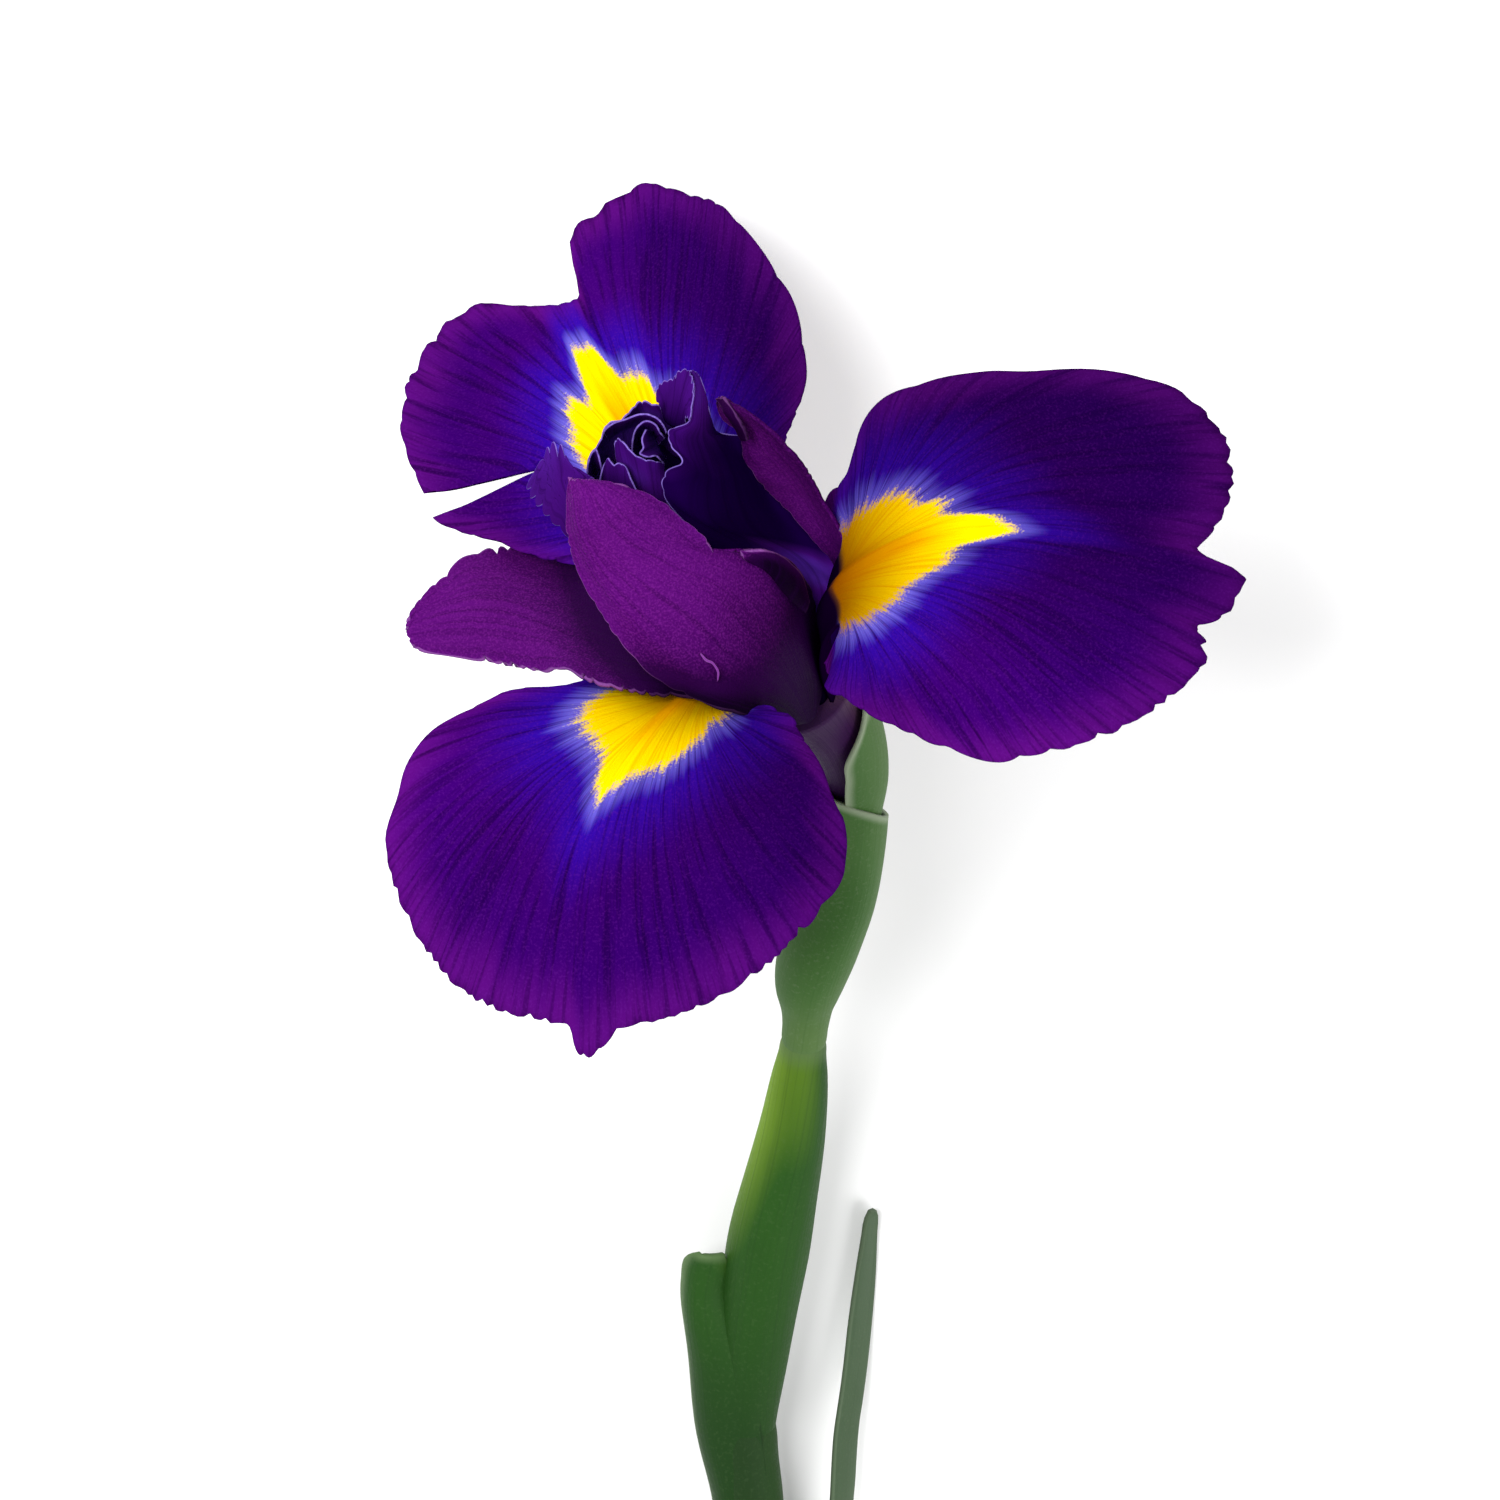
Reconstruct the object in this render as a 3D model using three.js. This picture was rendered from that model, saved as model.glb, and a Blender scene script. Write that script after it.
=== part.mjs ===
// Iris flower: one open bloom on its cut stem, lying on a flat surface.
// Millimetres, +Z up. The origin is on that surface, under the middle of the part.
// The bloom leans on the two lobes of its back fall, the stem on its cut end.
import * as THREE from "three";

// Driving dimensions
const sheetThickness = 0.8; // petals, style arms, spathes and leaves
const flowerBase = [6.0, 6.6, 41.0]; // middle of the tube's flat top, where the petals start
const flowerHeading = 117.9; // degrees from +X, seen from above
const flowerElevation = 31.5; // degrees above the surface
const flowerRoll = 14.0; // degrees about the flower's own axis
const seatGap = 0.7; // petal bases above the tube's top, along the axis
const stemEnd = -199; // cut end of the stem, along Y

const petalRows = 12;
const petalColumns = 24;
const midribStep = 0.25;
const lineStep = 0.2;
const degrees = Math.PI / 180;

// Smooth curve through [position, value] knots, held level past both ends
function curve(knots, position) {
  const last = knots.length - 1;
  if (position <= knots[0][0]) return knots[0][1];
  if (position >= knots[last][0]) return knots[last][1];
  let i = 0;
  while (position > knots[i + 1][0]) i += 1;
  const slope = (k) => (knots[k + 1][1] - knots[k][1]) / (knots[k + 1][0] - knots[k][0]);
  const reach = (k) => knots[k + 1][0] - knots[k][0];
  const tangent = (k) => {
    if (k === 0) return slope(0);
    if (k === last) return slope(last - 1);
    return (slope(k - 1) * reach(k) + slope(k) * reach(k - 1)) / (reach(k) + reach(k - 1));
  };
  const span = reach(i);
  const t = (position - knots[i][0]) / span;
  const t2 = t * t;
  const t3 = t2 * t;
  return (
    (2 * t3 - 3 * t2 + 1) * knots[i][1] +
    (t3 - 2 * t2 + t) * span * tangent(i) +
    (3 * t2 - 2 * t3) * knots[i + 1][1] +
    (t3 - t2) * span * tangent(i + 1)
  );
}

const blend = (a, b, t) => a + (b - a) * t;
const between = (value, low, high) => Math.min(Math.max(value, low), high);

// The flower's own directions: along its axis, towards its back fall (azimuth 0) and sideways (azimuth 90)
function flowerFrame() {
  const heading = flowerHeading * degrees;
  const elevation = flowerElevation * degrees;
  const axis = new THREE.Vector3(
    Math.cos(elevation) * Math.cos(heading),
    Math.cos(elevation) * Math.sin(heading),
    Math.sin(elevation),
  );
  const down = new THREE.Vector3(0, 0, -1).addScaledVector(axis, axis.z).normalize();
  const back = down.applyAxisAngle(axis, flowerRoll * degrees);
  const side = new THREE.Vector3().crossVectors(back, axis);
  return { axis, back, side };
}

const flower = flowerFrame();
const flowerOrigin = new THREE.Vector3(...flowerBase);

function radialDirection(frame, azimuth) {
  return new THREE.Vector3()
    .addScaledVector(frame.back, Math.cos(azimuth * degrees))
    .addScaledVector(frame.side, Math.sin(azimuth * degrees));
}

// A petal's frame is the flower's, leaned by tilt[0] degrees towards azimuth tilt[1]
function leanedFrame(tilt) {
  if (!tilt) return flower;
  const towards = radialDirection(flower, tilt[1]);
  const hinge = new THREE.Vector3().crossVectors(flower.axis, towards);
  const turn = (v) => v.clone().applyAxisAngle(hinge, tilt[0] * degrees);
  return { axis: turn(flower.axis), back: turn(flower.back), side: turn(flower.side) };
}

// Midrib of a petal: points with the across and inward directions, one every midribStep
function traceMidrib(petal) {
  const frame = leanedFrame(petal.tilt);
  const out = radialDirection(frame, petal.azimuth);
  const across = radialDirection(frame, petal.azimuth + 90);
  const point = flowerOrigin
    .clone()
    .addScaledVector(flower.axis, seatGap)
    .addScaledVector(radialDirection(flower, petal.azimuth), petal.radius);
  const stations = [];
  for (let y = 0; y <= petal.length * 1.3; y += midribStep) {
    const lean = curve(petal.lean, y) * degrees;
    const twist = petal.twist ? curve(petal.twist, y) * degrees : 0;
    const inward = frame.axis.clone().multiplyScalar(Math.sin(lean)).addScaledVector(out, -Math.cos(lean));
    stations.push({
      point: point.clone(),
      across: across.clone().multiplyScalar(Math.cos(twist)).addScaledVector(inward, Math.sin(twist)),
      inward: inward.clone().multiplyScalar(Math.cos(twist)).addScaledVector(across, -Math.sin(twist)),
    });
    point.addScaledVector(frame.axis, Math.cos(lean) * midribStep);
    point.addScaledVector(out, Math.sin(lean) * midribStep);
  }
  return stations;
}

// Point of the curved petal over (x, y) of the petal laid flat, raised by lift towards the flower's axis
function curvedPoint(petal, x, y, lift) {
  const place = between(y / midribStep, 0, petal.midrib.length - 1.001);
  const i = Math.floor(place);
  const mix = (key) => petal.midrib[i][key].clone().lerp(petal.midrib[i + 1][key], place - i);
  let bend = curve(petal.cup, y);
  if (Math.abs(bend) < 1e-5) bend = 1e-5;
  return mix("point")
    .addScaledVector(mix("across"), Math.sin(bend * x) / bend)
    .addScaledVector(mix("inward"), (1 - Math.cos(bend * x)) / bend + lift);
}

// How much of a V-shaped nick [angle, width before, width after, depth] is felt at an angle
function nickShare(nick, angle) {
  const away = angle < nick[0] ? (nick[0] - angle) / nick[1] : (angle - nick[0]) / nick[2];
  return nick[3] * between(1 - away, 0, 1);
}

// Petal laid flat: a narrow haft, then veins that fan out to an outline given in polar form
function flatPoint(petal, u, angle) {
  const edge = petal.outline;
  const v = angle < 0 ? -angle / edge[0][0] : angle / edge[edge.length - 1][0];
  const halfWidth = (y) => curve(petal.haftWidth, y);
  if (u <= petal.haftShare) {
    const y = (u / petal.haftShare) * petal.haft;
    return [v * halfWidth(y), y];
  }
  let reach = curve(edge, angle);
  for (const notch of petal.notches ?? []) reach -= nickShare(notch, angle);
  let t = (u - petal.haftShare) / (1 - petal.haftShare);
  for (const tear of petal.tears ?? []) t *= 1 - nickShare(tear, angle);
  const turn = angle * degrees;
  const start = [v * halfWidth(petal.haft), petal.haft];
  const first = 0.33 * reach;
  const second = 0.3 * reach;
  const end = [reach * Math.sin(turn), petal.haft + reach * Math.cos(turn)];
  const leave = [start[0] + first * Math.sin(turn * 0.45), start[1] + first * Math.cos(turn * 0.45)];
  const arrive = [end[0] - second * Math.sin(turn * 0.95), end[1] - second * Math.cos(turn * 0.95)];
  const s = 1 - t;
  const bezier = (k) => {
    return s * s * s * start[k] + 3 * s * s * t * leave[k] + 3 * s * t * t * arrive[k] + t * t * t * end[k];
  };
  return [bezier(0), bezier(1)];
}

// Waves that grow towards the petal's edge
function ruffle(petal, u, angle) {
  const nearEdge = between((u - 0.45) / 0.55, 0, 1) ** 1.6;
  return (petal.waves ?? []).reduce((sum, [height, count, start]) => {
    return sum + height * nearEdge * Math.sin((count * angle + start) * degrees);
  }, 0);
}

// Columns run along the veins, with extra ones at every nick of the edge
function columnAngles(petal, columns) {
  const low = petal.outline[0][0];
  const high = petal.outline[petal.outline.length - 1][0];
  const angles = Array.from({ length: columns }, (_, j) => blend(low, high, j / (columns - 1)));
  for (const nick of [...(petal.notches ?? []), ...(petal.tears ?? [])]) {
    const own = [nick[0] - nick[1], nick[0], nick[0] + nick[2]];
    const clear = angles.filter((a) => own.every((b) => Math.abs(a - b) > 1.6));
    angles.splice(0, angles.length, ...clear, ...own);
  }
  return angles.sort((a, b) => a - b);
}

// Closed sheet from a grid of middle points and normals, both faces split alike
function sheetSolid(grid, thickness) {
  const rows = grid.length;
  const columns = grid[0].length;
  const positions = [];
  for (const face of [1, -1]) {
    grid.forEach((row, i) => {
      const half = (face * thickness(i / (rows - 1))) / 2;
      for (const { point, normal } of row) {
        positions.push(...point.clone().addScaledVector(normal, half).toArray());
      }
    });
  }
  const top = (i, j) => i * columns + j;
  const bottom = (i, j) => rows * columns + top(i, j);
  const index = [];
  for (let i = 0; i < rows - 1; i += 1) {
    for (let j = 0; j < columns - 1; j += 1) {
      const corners = [[i, j], [i + 1, j], [i + 1, j + 1], [i, j + 1]];
      const [a, b, c, d] = corners.map(([r, k]) => top(r, k));
      const [e, f, g, h] = corners.map(([r, k]) => bottom(r, k));
      index.push(a, b, c, a, c, d, e, g, f, e, h, g);
    }
  }
  const wall = (a, b, c, d) => index.push(a, b, c, a, c, d);
  for (let i = 0; i < rows - 1; i += 1) {
    wall(top(i, 0), bottom(i, 0), bottom(i + 1, 0), top(i + 1, 0));
    wall(top(i + 1, columns - 1), bottom(i + 1, columns - 1), bottom(i, columns - 1), top(i, columns - 1));
  }
  for (let j = 0; j < columns - 1; j += 1) {
    wall(top(0, j + 1), bottom(0, j + 1), bottom(0, j), top(0, j));
    wall(top(rows - 1, j), bottom(rows - 1, j), bottom(rows - 1, j + 1), top(rows - 1, j + 1));
  }
  return facingOut(positions, index);
}

// Indexed geometry with its faces turned outwards
function facingOut(positions, index) {
  const corner = (k) => new THREE.Vector3().fromArray(positions, 3 * index[k]);
  let volume = 0;
  for (let k = 0; k < index.length; k += 3) {
    volume += corner(k).dot(corner(k + 1).cross(corner(k + 2)));
  }
  if (volume < 0) {
    for (let k = 0; k < index.length; k += 3) [index[k + 1], index[k + 2]] = [index[k + 2], index[k + 1]];
  }
  const geometry = new THREE.BufferGeometry();
  geometry.setAttribute("position", new THREE.Float32BufferAttribute(positions, 3));
  geometry.setIndex(index);
  geometry.computeVertexNormals();
  return geometry;
}

function petalGeometry(shape) {
  const petal = { ...shape, midrib: traceMidrib(shape) };
  const rows = petal.rows ?? petalRows;
  const angles = columnAngles(petal, petal.columns ?? petalColumns);
  const small = 0.05;
  const grid = Array.from({ length: rows }, (_, i) => {
    const u = i / (rows - 1);
    return angles.map((angle) => {
      const [x, y] = flatPoint(petal, u, angle);
      const lift = ruffle(petal, u, angle);
      const point = curvedPoint(petal, x, y, lift);
      const acrossStep = curvedPoint(petal, x + small, y, lift).sub(point);
      const alongStep = curvedPoint(petal, x, y + small, lift).sub(point);
      return { point, normal: acrossStep.cross(alongStep).normalize() };
    });
  });
  const base = petal.baseThickness ?? 1.0;
  return sheetSolid(grid, (u) => blend(base, sheetThickness, between(u / petal.haftShare, 0, 1)));
}

// Falls: the three broad outer petals, haft narrow, blade arching over and down
const fall = {
  radius: 4.3,
  length: 68,
  lean: [[0, 10], [12, 28], [25, 58], [38, 78], [52, 112], [68, 125]],
  cup: [[0, 0.06], [12, 0.04], [22, 0.012], [34, -0.002], [45, -0.006], [70, -0.01]],
  haft: 20,
  haftShare: 0.3,
  haftWidth: [[0, 2.4], [8, 3.2], [14, 3.8], [20, 4.5]],
  columns: 30,
  rows: 13,
};
const falls = {
  fall_front_left: {
    ...fall,
    azimuth: -130,
    twist: [[0, 0], [15, 5], [27, 12], [70, 12]],
    outline: [
      [-105, 6], [-88, 8.5], [-75, 13.5], [-70, 17.5], [-63, 26.5], [-54, 32.1], [-39, 38.5], [-31, 41.8],
      [-17, 44.8], [-8, 45.4], [8, 46.2], [16, 45.8], [23, 43.8], [32, 41.1], [40, 37.5], [45, 32.6],
      [51, 27.2], [61, 19.6], [70, 15], [85, 11.5], [105, 8],
    ],
    notches: [[-1.5, 4, 3, -3]],
    waves: [[0.7, 9, 20], [0.4, 4, 100]],
  },
  fall_right: {
    ...fall,
    azimuth: 129,
    twist: [[0, 0], [15, -5], [27, -12], [70, -12]],
    outline: [
      [-105, 6.5], [-79, 12.2], [-61, 19], [-46, 23.5], [-38, 28.2], [-33, 33], [-29, 38], [-24, 43.5],
      [-17, 47.5], [-9, 49.3], [0, 50.5], [10, 50.8], [20, 48.9], [26, 46.5], [32, 43.4], [39, 39.4],
      [50, 33], [59, 26.4], [69, 19.4], [88, 13], [105, 9.5],
    ],
    notches: [[0.8, 9, 1.7, 3.4], [10, 2.5, 2.5, 2.3]],
    waves: [[0.7, 8, 200], [0.5, 5, 10]],
  },
  fall_back: {
    ...fall,
    azimuth: 5,
    lean: [[0, 10], [12, 28], [25, 58], [38, 82], [52, 100], [68, 104]],
    cup: [[0, 0.06], [12, 0.04], [22, 0.02], [30, 0.006], [45, 0.012], [70, 0.02]],
    outline: [
      [-105, 7.5], [-88, 10.5], [-68, 18], [-62, 22.7], [-55, 29.3], [-48, 32.2], [-39, 35.9], [-27, 42.1],
      [-20, 46], [-13, 49.6], [0, 51.5], [12, 50.8], [18, 48.9], [28, 42.7], [37, 36.6], [44, 32.6],
      [52, 28.9], [59, 25.9], [67, 22.2], [75, 17.6], [88, 10], [105, 6],
    ],
    notches: [[3, 13, 3, 15.4]],
    tears: [[-50.5, 2.2, 2.2, 0.42]],
    waves: [[0.5, 9, 60]],
  },
};

// Standards: the three inner petals, one curled over the middle, one upright, one fallen outwards
const standard = { radius: 5.3, length: 48, haft: 14, haftShare: 0.28, columns: 16, rows: 12 };
const standards = {
  standard_front: {
    ...standard,
    azimuth: 180,
    tilt: [9, -90],
    lean: [[0, 20], [10, 12], [20, -4], [30, -13], [48, -28]],
    cup: [[0, 0.1], [12, 0.13], [17, 0.17], [24, 0.09], [32, 0.05], [48, 0.03]],
    haftWidth: [[0, 1.6], [8, 1.5], [12, 1.6], [14, 2.2]],
    outline: [
      [-62, 14], [-44, 18], [-26, 20], [-20, 21.5], [-15, 24], [-10, 29], [-5, 33.2], [-1, 34.6],
      [4, 33.4], [14, 28.5], [27, 22.1], [42, 17], [52, 11],
    ],
    waves: [[0.5, 14, 30]],
  },
  standard_left: {
    ...standard,
    azimuth: -54,
    lean: [[0, 20], [12, 48], [30, 60], [50, 52]],
    cup: [[0, 0.1], [14, 0.05], [30, 0.01], [48, 0.0]],
    haftWidth: [[0, 3], [6, 3.8], [14, 6.8]],
    outline: [
      [-62, 9], [-45, 10], [-34, 12], [-25, 17], [-17, 22.5], [-11, 27], [-6, 26.8], [0, 25.8], [7, 24.8],
      [15, 23.6], [23, 22], [31, 19], [42, 15], [52, 12], [62, 9.6],
    ],
    waves: [[0.5, 16, 80]],
  },
  standard_right: {
    ...standard,
    azimuth: 64,
    lean: [[0, 34], [12, 25], [24, 6], [42, -16]],
    cup: [[0, 0.14], [14, 0.13], [30, 0.13], [48, 0.13]],
    haftWidth: [[0, 1.6], [8, 1.8], [14, 3]],
    outline: [
      [-62, 7], [-45, 11.5], [-30, 17.5], [-15, 24], [0, 27.5], [8, 26.5], [15, 23.5], [30, 15.5], [45, 10],
      [62, 6],
    ],
    waves: [[0.4, 16, 10]],
  },
};

// Style arms: petal-like, one over each fall's haft, each ending in two upright crests
const styleArm = {
  radius: 1.7,
  length: 46,
  tilt: [11, 0],
  cup: [[0, -0.1], [15, -0.06], [30, -0.04], [46, 0.02]],
  haft: 28,
  haftShare: 0.5,
    columns: 16,
  rows: 13,
  baseThickness: 0.8,
};
const styleArms = {
  style_arm_front: {
    ...styleArm,
    azimuth: -130,
    lean: [[0, 12], [15, 6], [30, 0], [50, 6]],
    haftWidth: [[0, 1.4], [10, 3.2], [20, 4.0], [28, 4.2]],
    outline: [
      [-75, 6], [-50, 7.5], [-30, 10], [-12, 10], [0, 9], [10, 12], [22, 17], [34, 17], [50, 12.5], [75, 8],
    ],
  },
  style_arm_right: {
    ...styleArm,
    azimuth: 129,
    lean: [[0, 8], [15, 8], [30, 4], [46, 10]],
    haftWidth: [[0, 1.4], [6, 4], [12, 6.4], [20, 7.4], [28, 6.6]],
    outline: [
      [-75, 8], [-50, 10], [-34, 12.5], [-22, 16], [-10, 16], [0, 13], [12, 12], [30, 12], [50, 10],
      [75, 8],
    ],
  },
  style_arm_back: {
    ...styleArm,
    azimuth: 8,
    lean: [[0, 4], [15, 2], [30, -2], [42, 4]],
    haftWidth: [[0, 1.4], [10, 4.0], [20, 5.2], [28, 5.5]],
    outline: [
      [-75, 6.5], [-50, 8.5], [-25, 12], [-15, 12.5], [0, 9], [15, 13], [25, 12.5], [50, 8.5], [75, 6.5],
    ],
  },
};

// Line of the stem from its cut end to the flower, sideways and height over Y
const stemSideways = [
  [stemEnd, 1.0], [-172, 1.3], [-143, 1.0], [-114, 0.3], [-103, -0.5], [-94, 0.2], [-77, 2.3], [-59, 5.3],
  [-44, 6.7], [-38, 7.1], [-33, 8.2], [-26, 10.3], [-18, 11.6], [-12, 11.9], [-7, 11.6], [-0.9, 10.0],
  [flowerBase[1], flowerBase[0]],
];
const stemHeight = [
  [stemEnd, 4.6], [-172, 4.6], [-143, 4.8], [-114, 5.4], [-103, 6.2], [-94, 7.0], [-77, 9.2], [-59, 12.8],
  [-44, 17.0], [-33, 21.0], [-26, 24.0], [-18, 27.6], [-12, 30.4], [-7, 32.6], [-0.9, 35.8],
  [flowerBase[1], flowerBase[2]],
];

// Place on the stem's line with the directions along it, to its right and above it
function stemStation(y) {
  const at = (place) => {
    const held = between(place, stemEnd, flowerBase[1]);
    return new THREE.Vector3(curve(stemSideways, held), held, curve(stemHeight, held));
  };
  const along = at(y + lineStep).sub(at(y - lineStep)).normalize();
  const right = new THREE.Vector3().crossVectors(along, new THREE.Vector3(0, 0, 1)).normalize();
  const above = new THREE.Vector3().crossVectors(right, along);
  return { centre: at(y), along, right, above };
}

// Closed round body along the stem's line, its radius given over Y
function roundBody(radii, stations, segments) {
  const first = radii[0][0];
  const last = radii[radii.length - 1][0];
  const places = Array.from({ length: stations }, (_, i) => blend(first, last, i / (stations - 1)));
  const positions = [];
  for (const y of places) {
    const { centre, right, above } = stemStation(y);
    for (let j = 0; j < segments; j += 1) {
      const turn = (2 * Math.PI * j) / segments;
      const spoke = right.clone().multiplyScalar(Math.cos(turn)).addScaledVector(above, Math.sin(turn));
      positions.push(...centre.clone().addScaledVector(spoke, curve(radii, y)).toArray());
    }
  }
  const ends = [stemStation(first).centre, stemStation(last).centre];
  ends.forEach((end) => positions.push(...end.toArray()));
  const ring = (i, j) => i * segments + (j % segments);
  const index = [];
  for (let j = 0; j < segments; j += 1) {
    for (let i = 0; i < stations - 1; i += 1) {
      const [a, b, c, d] = [ring(i, j), ring(i, j + 1), ring(i + 1, j + 1), ring(i + 1, j)];
      index.push(a, b, c, a, c, d);
    }
    index.push(stations * segments, ring(0, j + 1), ring(0, j));
    index.push(stations * segments + 1, ring(stations - 1, j), ring(stations - 1, j + 1));
  }
  return facingOut(positions, index);
}

// Leaf along the stem's line: an arched strip, its crest set off from the line and facing an angle from above
function leafGeometry(leaf) {
  const grid = Array.from({ length: leaf.rows }, (_, i) => {
    const y = blend(leaf.from, leaf.to, i / (leaf.rows - 1));
    const { centre, right, above } = stemStation(y);
    const facing = curve(leaf.facing, y) * degrees;
    const outward = above.clone().multiplyScalar(Math.cos(facing)).addScaledVector(right, Math.sin(facing));
    const lateral = right.clone().multiplyScalar(Math.cos(facing)).addScaledVector(above, -Math.sin(facing));
    const crest = centre.clone();
    if (leaf.hug) crest.addScaledVector(outward, curve(leaf.hug, y));
    else crest.addScaledVector(right, curve(leaf.sideways, y)).addScaledVector(above, curve(leaf.raised, y));
    const bend = leaf.hug ? 1 / curve(leaf.hug, y) : curve(leaf.bend, y);
    const halfWidth = leaf.hug ? (curve(leaf.halfAngle, y) * degrees) / bend : curve(leaf.halfWidth, y);
    return Array.from({ length: leaf.columns }, (__, j) => {
      const turn = bend * halfWidth * ((2 * j) / (leaf.columns - 1) - 1);
      return {
        point: crest
          .clone()
          .addScaledVector(lateral, Math.sin(turn) / bend)
          .addScaledVector(outward, (Math.cos(turn) - 1) / bend),
        normal: outward.clone().multiplyScalar(Math.cos(turn)).addScaledVector(lateral, Math.sin(turn)),
      };
    });
  });
  return sheetSolid(grid, () => leaf.thickness);
}

// Perianth tube with the ovary below it
const tubeRadii = [
  [-36, 2.4], [-33, 3.0], [-26, 2.6], [-18, 2.5], [-12, 2.5], [-6, 3.3], [-2, 3.8], [1, 4.3], [4, 5.0],
  [5.6, 5.6], [6.6, 5.9],
];
const stemRadii = [
  [stemEnd, 3.6], [-172, 3.8], [-143, 3.9], [-114, 3.9], [-108, 3.7], [-104, 2.8], [-94, 3.3], [-85, 3.8],
  [-77, 4.0], [-68, 3.5], [-59, 2.9], [-50, 2.2], [-45, 1.7], [-40, 2.0], [-36.4, 2.0],
];

const leaves = {
  spathe_outer: {
    from: -45,
    to: -12.5,
    thickness: 0.6,
    rows: 15,
    columns: 20,
    facing: [[-45, 20], [-12, 20]],
    hug: [[-45, 2.4], [-42, 2.9], [-39.6, 3.6], [-34, 4.4], [-26, 4.2], [-18, 3.95], [-12, 4.0]],
    halfAngle: [[-45, 165], [-20, 160], [-12.5, 130]],
  },
  spathe_inner: {
    from: -24,
    to: 3.2,
    thickness: 0.6,
    rows: 16,
    columns: 12,
    facing: [[-24, 85], [3.2, 85]],
    hug: [[-24, 3.2], [-18, 3.1], [-13, 3.1], [-7, 4.2], [-1, 5.2], [3.2, 5.9]],
    halfAngle: [[-24, 100], [-12, 90], [-4, 80], [1, 60], [3.2, 28]],
  },
  sheath_leaf: {
    from: -105,
    to: -46,
    thickness: 0.8,
    rows: 20,
    columns: 20,
    facing: [[-105, -20], [-46, -20]],
    hug: [
      [-105, 3.6], [-103, 3.6], [-94, 4.1], [-85, 4.55], [-77, 4.8], [-68, 4.3], [-59, 3.65], [-50, 3.0],
      [-46, 2.75],
    ],
    halfAngle: [[-105, 165], [-60, 165], [-46, 150]],
  },
  left_leaf: {
    from: -134,
    to: -78.5,
    thickness: 0.8,
    rows: 20,
    columns: 10,
    facing: [[-134, -90], [-112, -90], [-103, -70], [-94, -45], [-82, -20]],
    sideways: [[-134, -4.9], [-112, -4.9], [-103, -5.3], [-94, -6.4], [-82, -7.8], [-78.5, -7.7]],
    raised: [[-134, 0], [-94, 0], [-82, 0.4], [-78.5, 0.6]],
    bend: [[-134, 0.2], [-116, 0.2], [-112, 0.19], [-103, 0.12], [-94, 0.06], [-78.5, 0.05]],
    halfWidth: [
      [-134, 3.5], [-130, 6], [-118, 7.5], [-108, 3.6], [-94, 2.1], [-84, 2.5], [-80, 2.0], [-78.5, 0.9],
    ],
  },
  right_leaf: {
    from: -193,
    to: -75.5,
    thickness: 0.8,
    rows: 26,
    columns: 10,
    facing: [[-193, 90], [-170, 90], [-143, 70], [-114, 50], [-76, 45]],
    sideways: [
      [-193, 4.5], [-172, 4.6], [-160, 5.2], [-143, 7.3], [-114, 11.4], [-103, 12.9], [-88, 13.2],
      [-76, 12.6],
    ],
    raised: [[-193, 0], [-160, 0], [-143, -0.2], [-114, -1.0], [-103, -2.6], [-88, -6.6], [-76, -8.3]],
    bend: [[-193, 0.22], [-170, 0.21], [-150, 0.12], [-130, 0.06], [-76, 0.04]],
    halfWidth: [
      [-193, 5], [-186, 8], [-172, 8], [-158, 4], [-140, 2.6], [-100, 2.0], [-86, 1.7], [-79, 1.0],
      [-75.5, 0.4],
    ],
  },
};

const iris = new THREE.Group();
iris.name = "iris_flower";

function add(name, geometry, material) {
  const mesh = new THREE.Mesh(geometry, material);
  mesh.name = name;
  iris.add(mesh);
}

const fallPaint = new THREE.MeshStandardMaterial({ color: 0x3a0f86, roughness: 0.6, metalness: 0 });
const standardPaint = new THREE.MeshStandardMaterial({ color: 0x5c1a72, roughness: 0.6, metalness: 0 });
const crestPaint = new THREE.MeshStandardMaterial({ color: 0x24105c, roughness: 0.6, metalness: 0 });
const stemPaint = new THREE.MeshStandardMaterial({ color: 0x3a6a2c, roughness: 0.55, metalness: 0 });
const leafPaint = new THREE.MeshStandardMaterial({ color: 0x587050, roughness: 0.6, metalness: 0 });
const tubePaint = new THREE.MeshStandardMaterial({ color: 0x3a2340, roughness: 0.6, metalness: 0 });

for (const [name, shape] of Object.entries(falls)) add(name, petalGeometry(shape), fallPaint);
for (const [name, shape] of Object.entries(standards)) add(name, petalGeometry(shape), standardPaint);
for (const [name, shape] of Object.entries(styleArms)) add(name, petalGeometry(shape), crestPaint);
add("perianth_tube", roundBody(tubeRadii, 20, 20), tubePaint);
add("stem", roundBody(stemRadii, 44, 18), stemPaint);
for (const [name, leaf] of Object.entries(leaves)) add(name, leafGeometry(leaf), leafPaint);

// The lowest point goes to Z = 0 and the middle of the outline over the origin
const outline = new THREE.Box3().setFromObject(iris);
const middle = outline.getCenter(new THREE.Vector3());
iris.position.set(-middle.x, -middle.y, -outline.min.z);

export default iris;
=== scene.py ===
import math

import bmesh
import bpy
from mathutils import Matrix, Quaternion, Vector, noise


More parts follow.
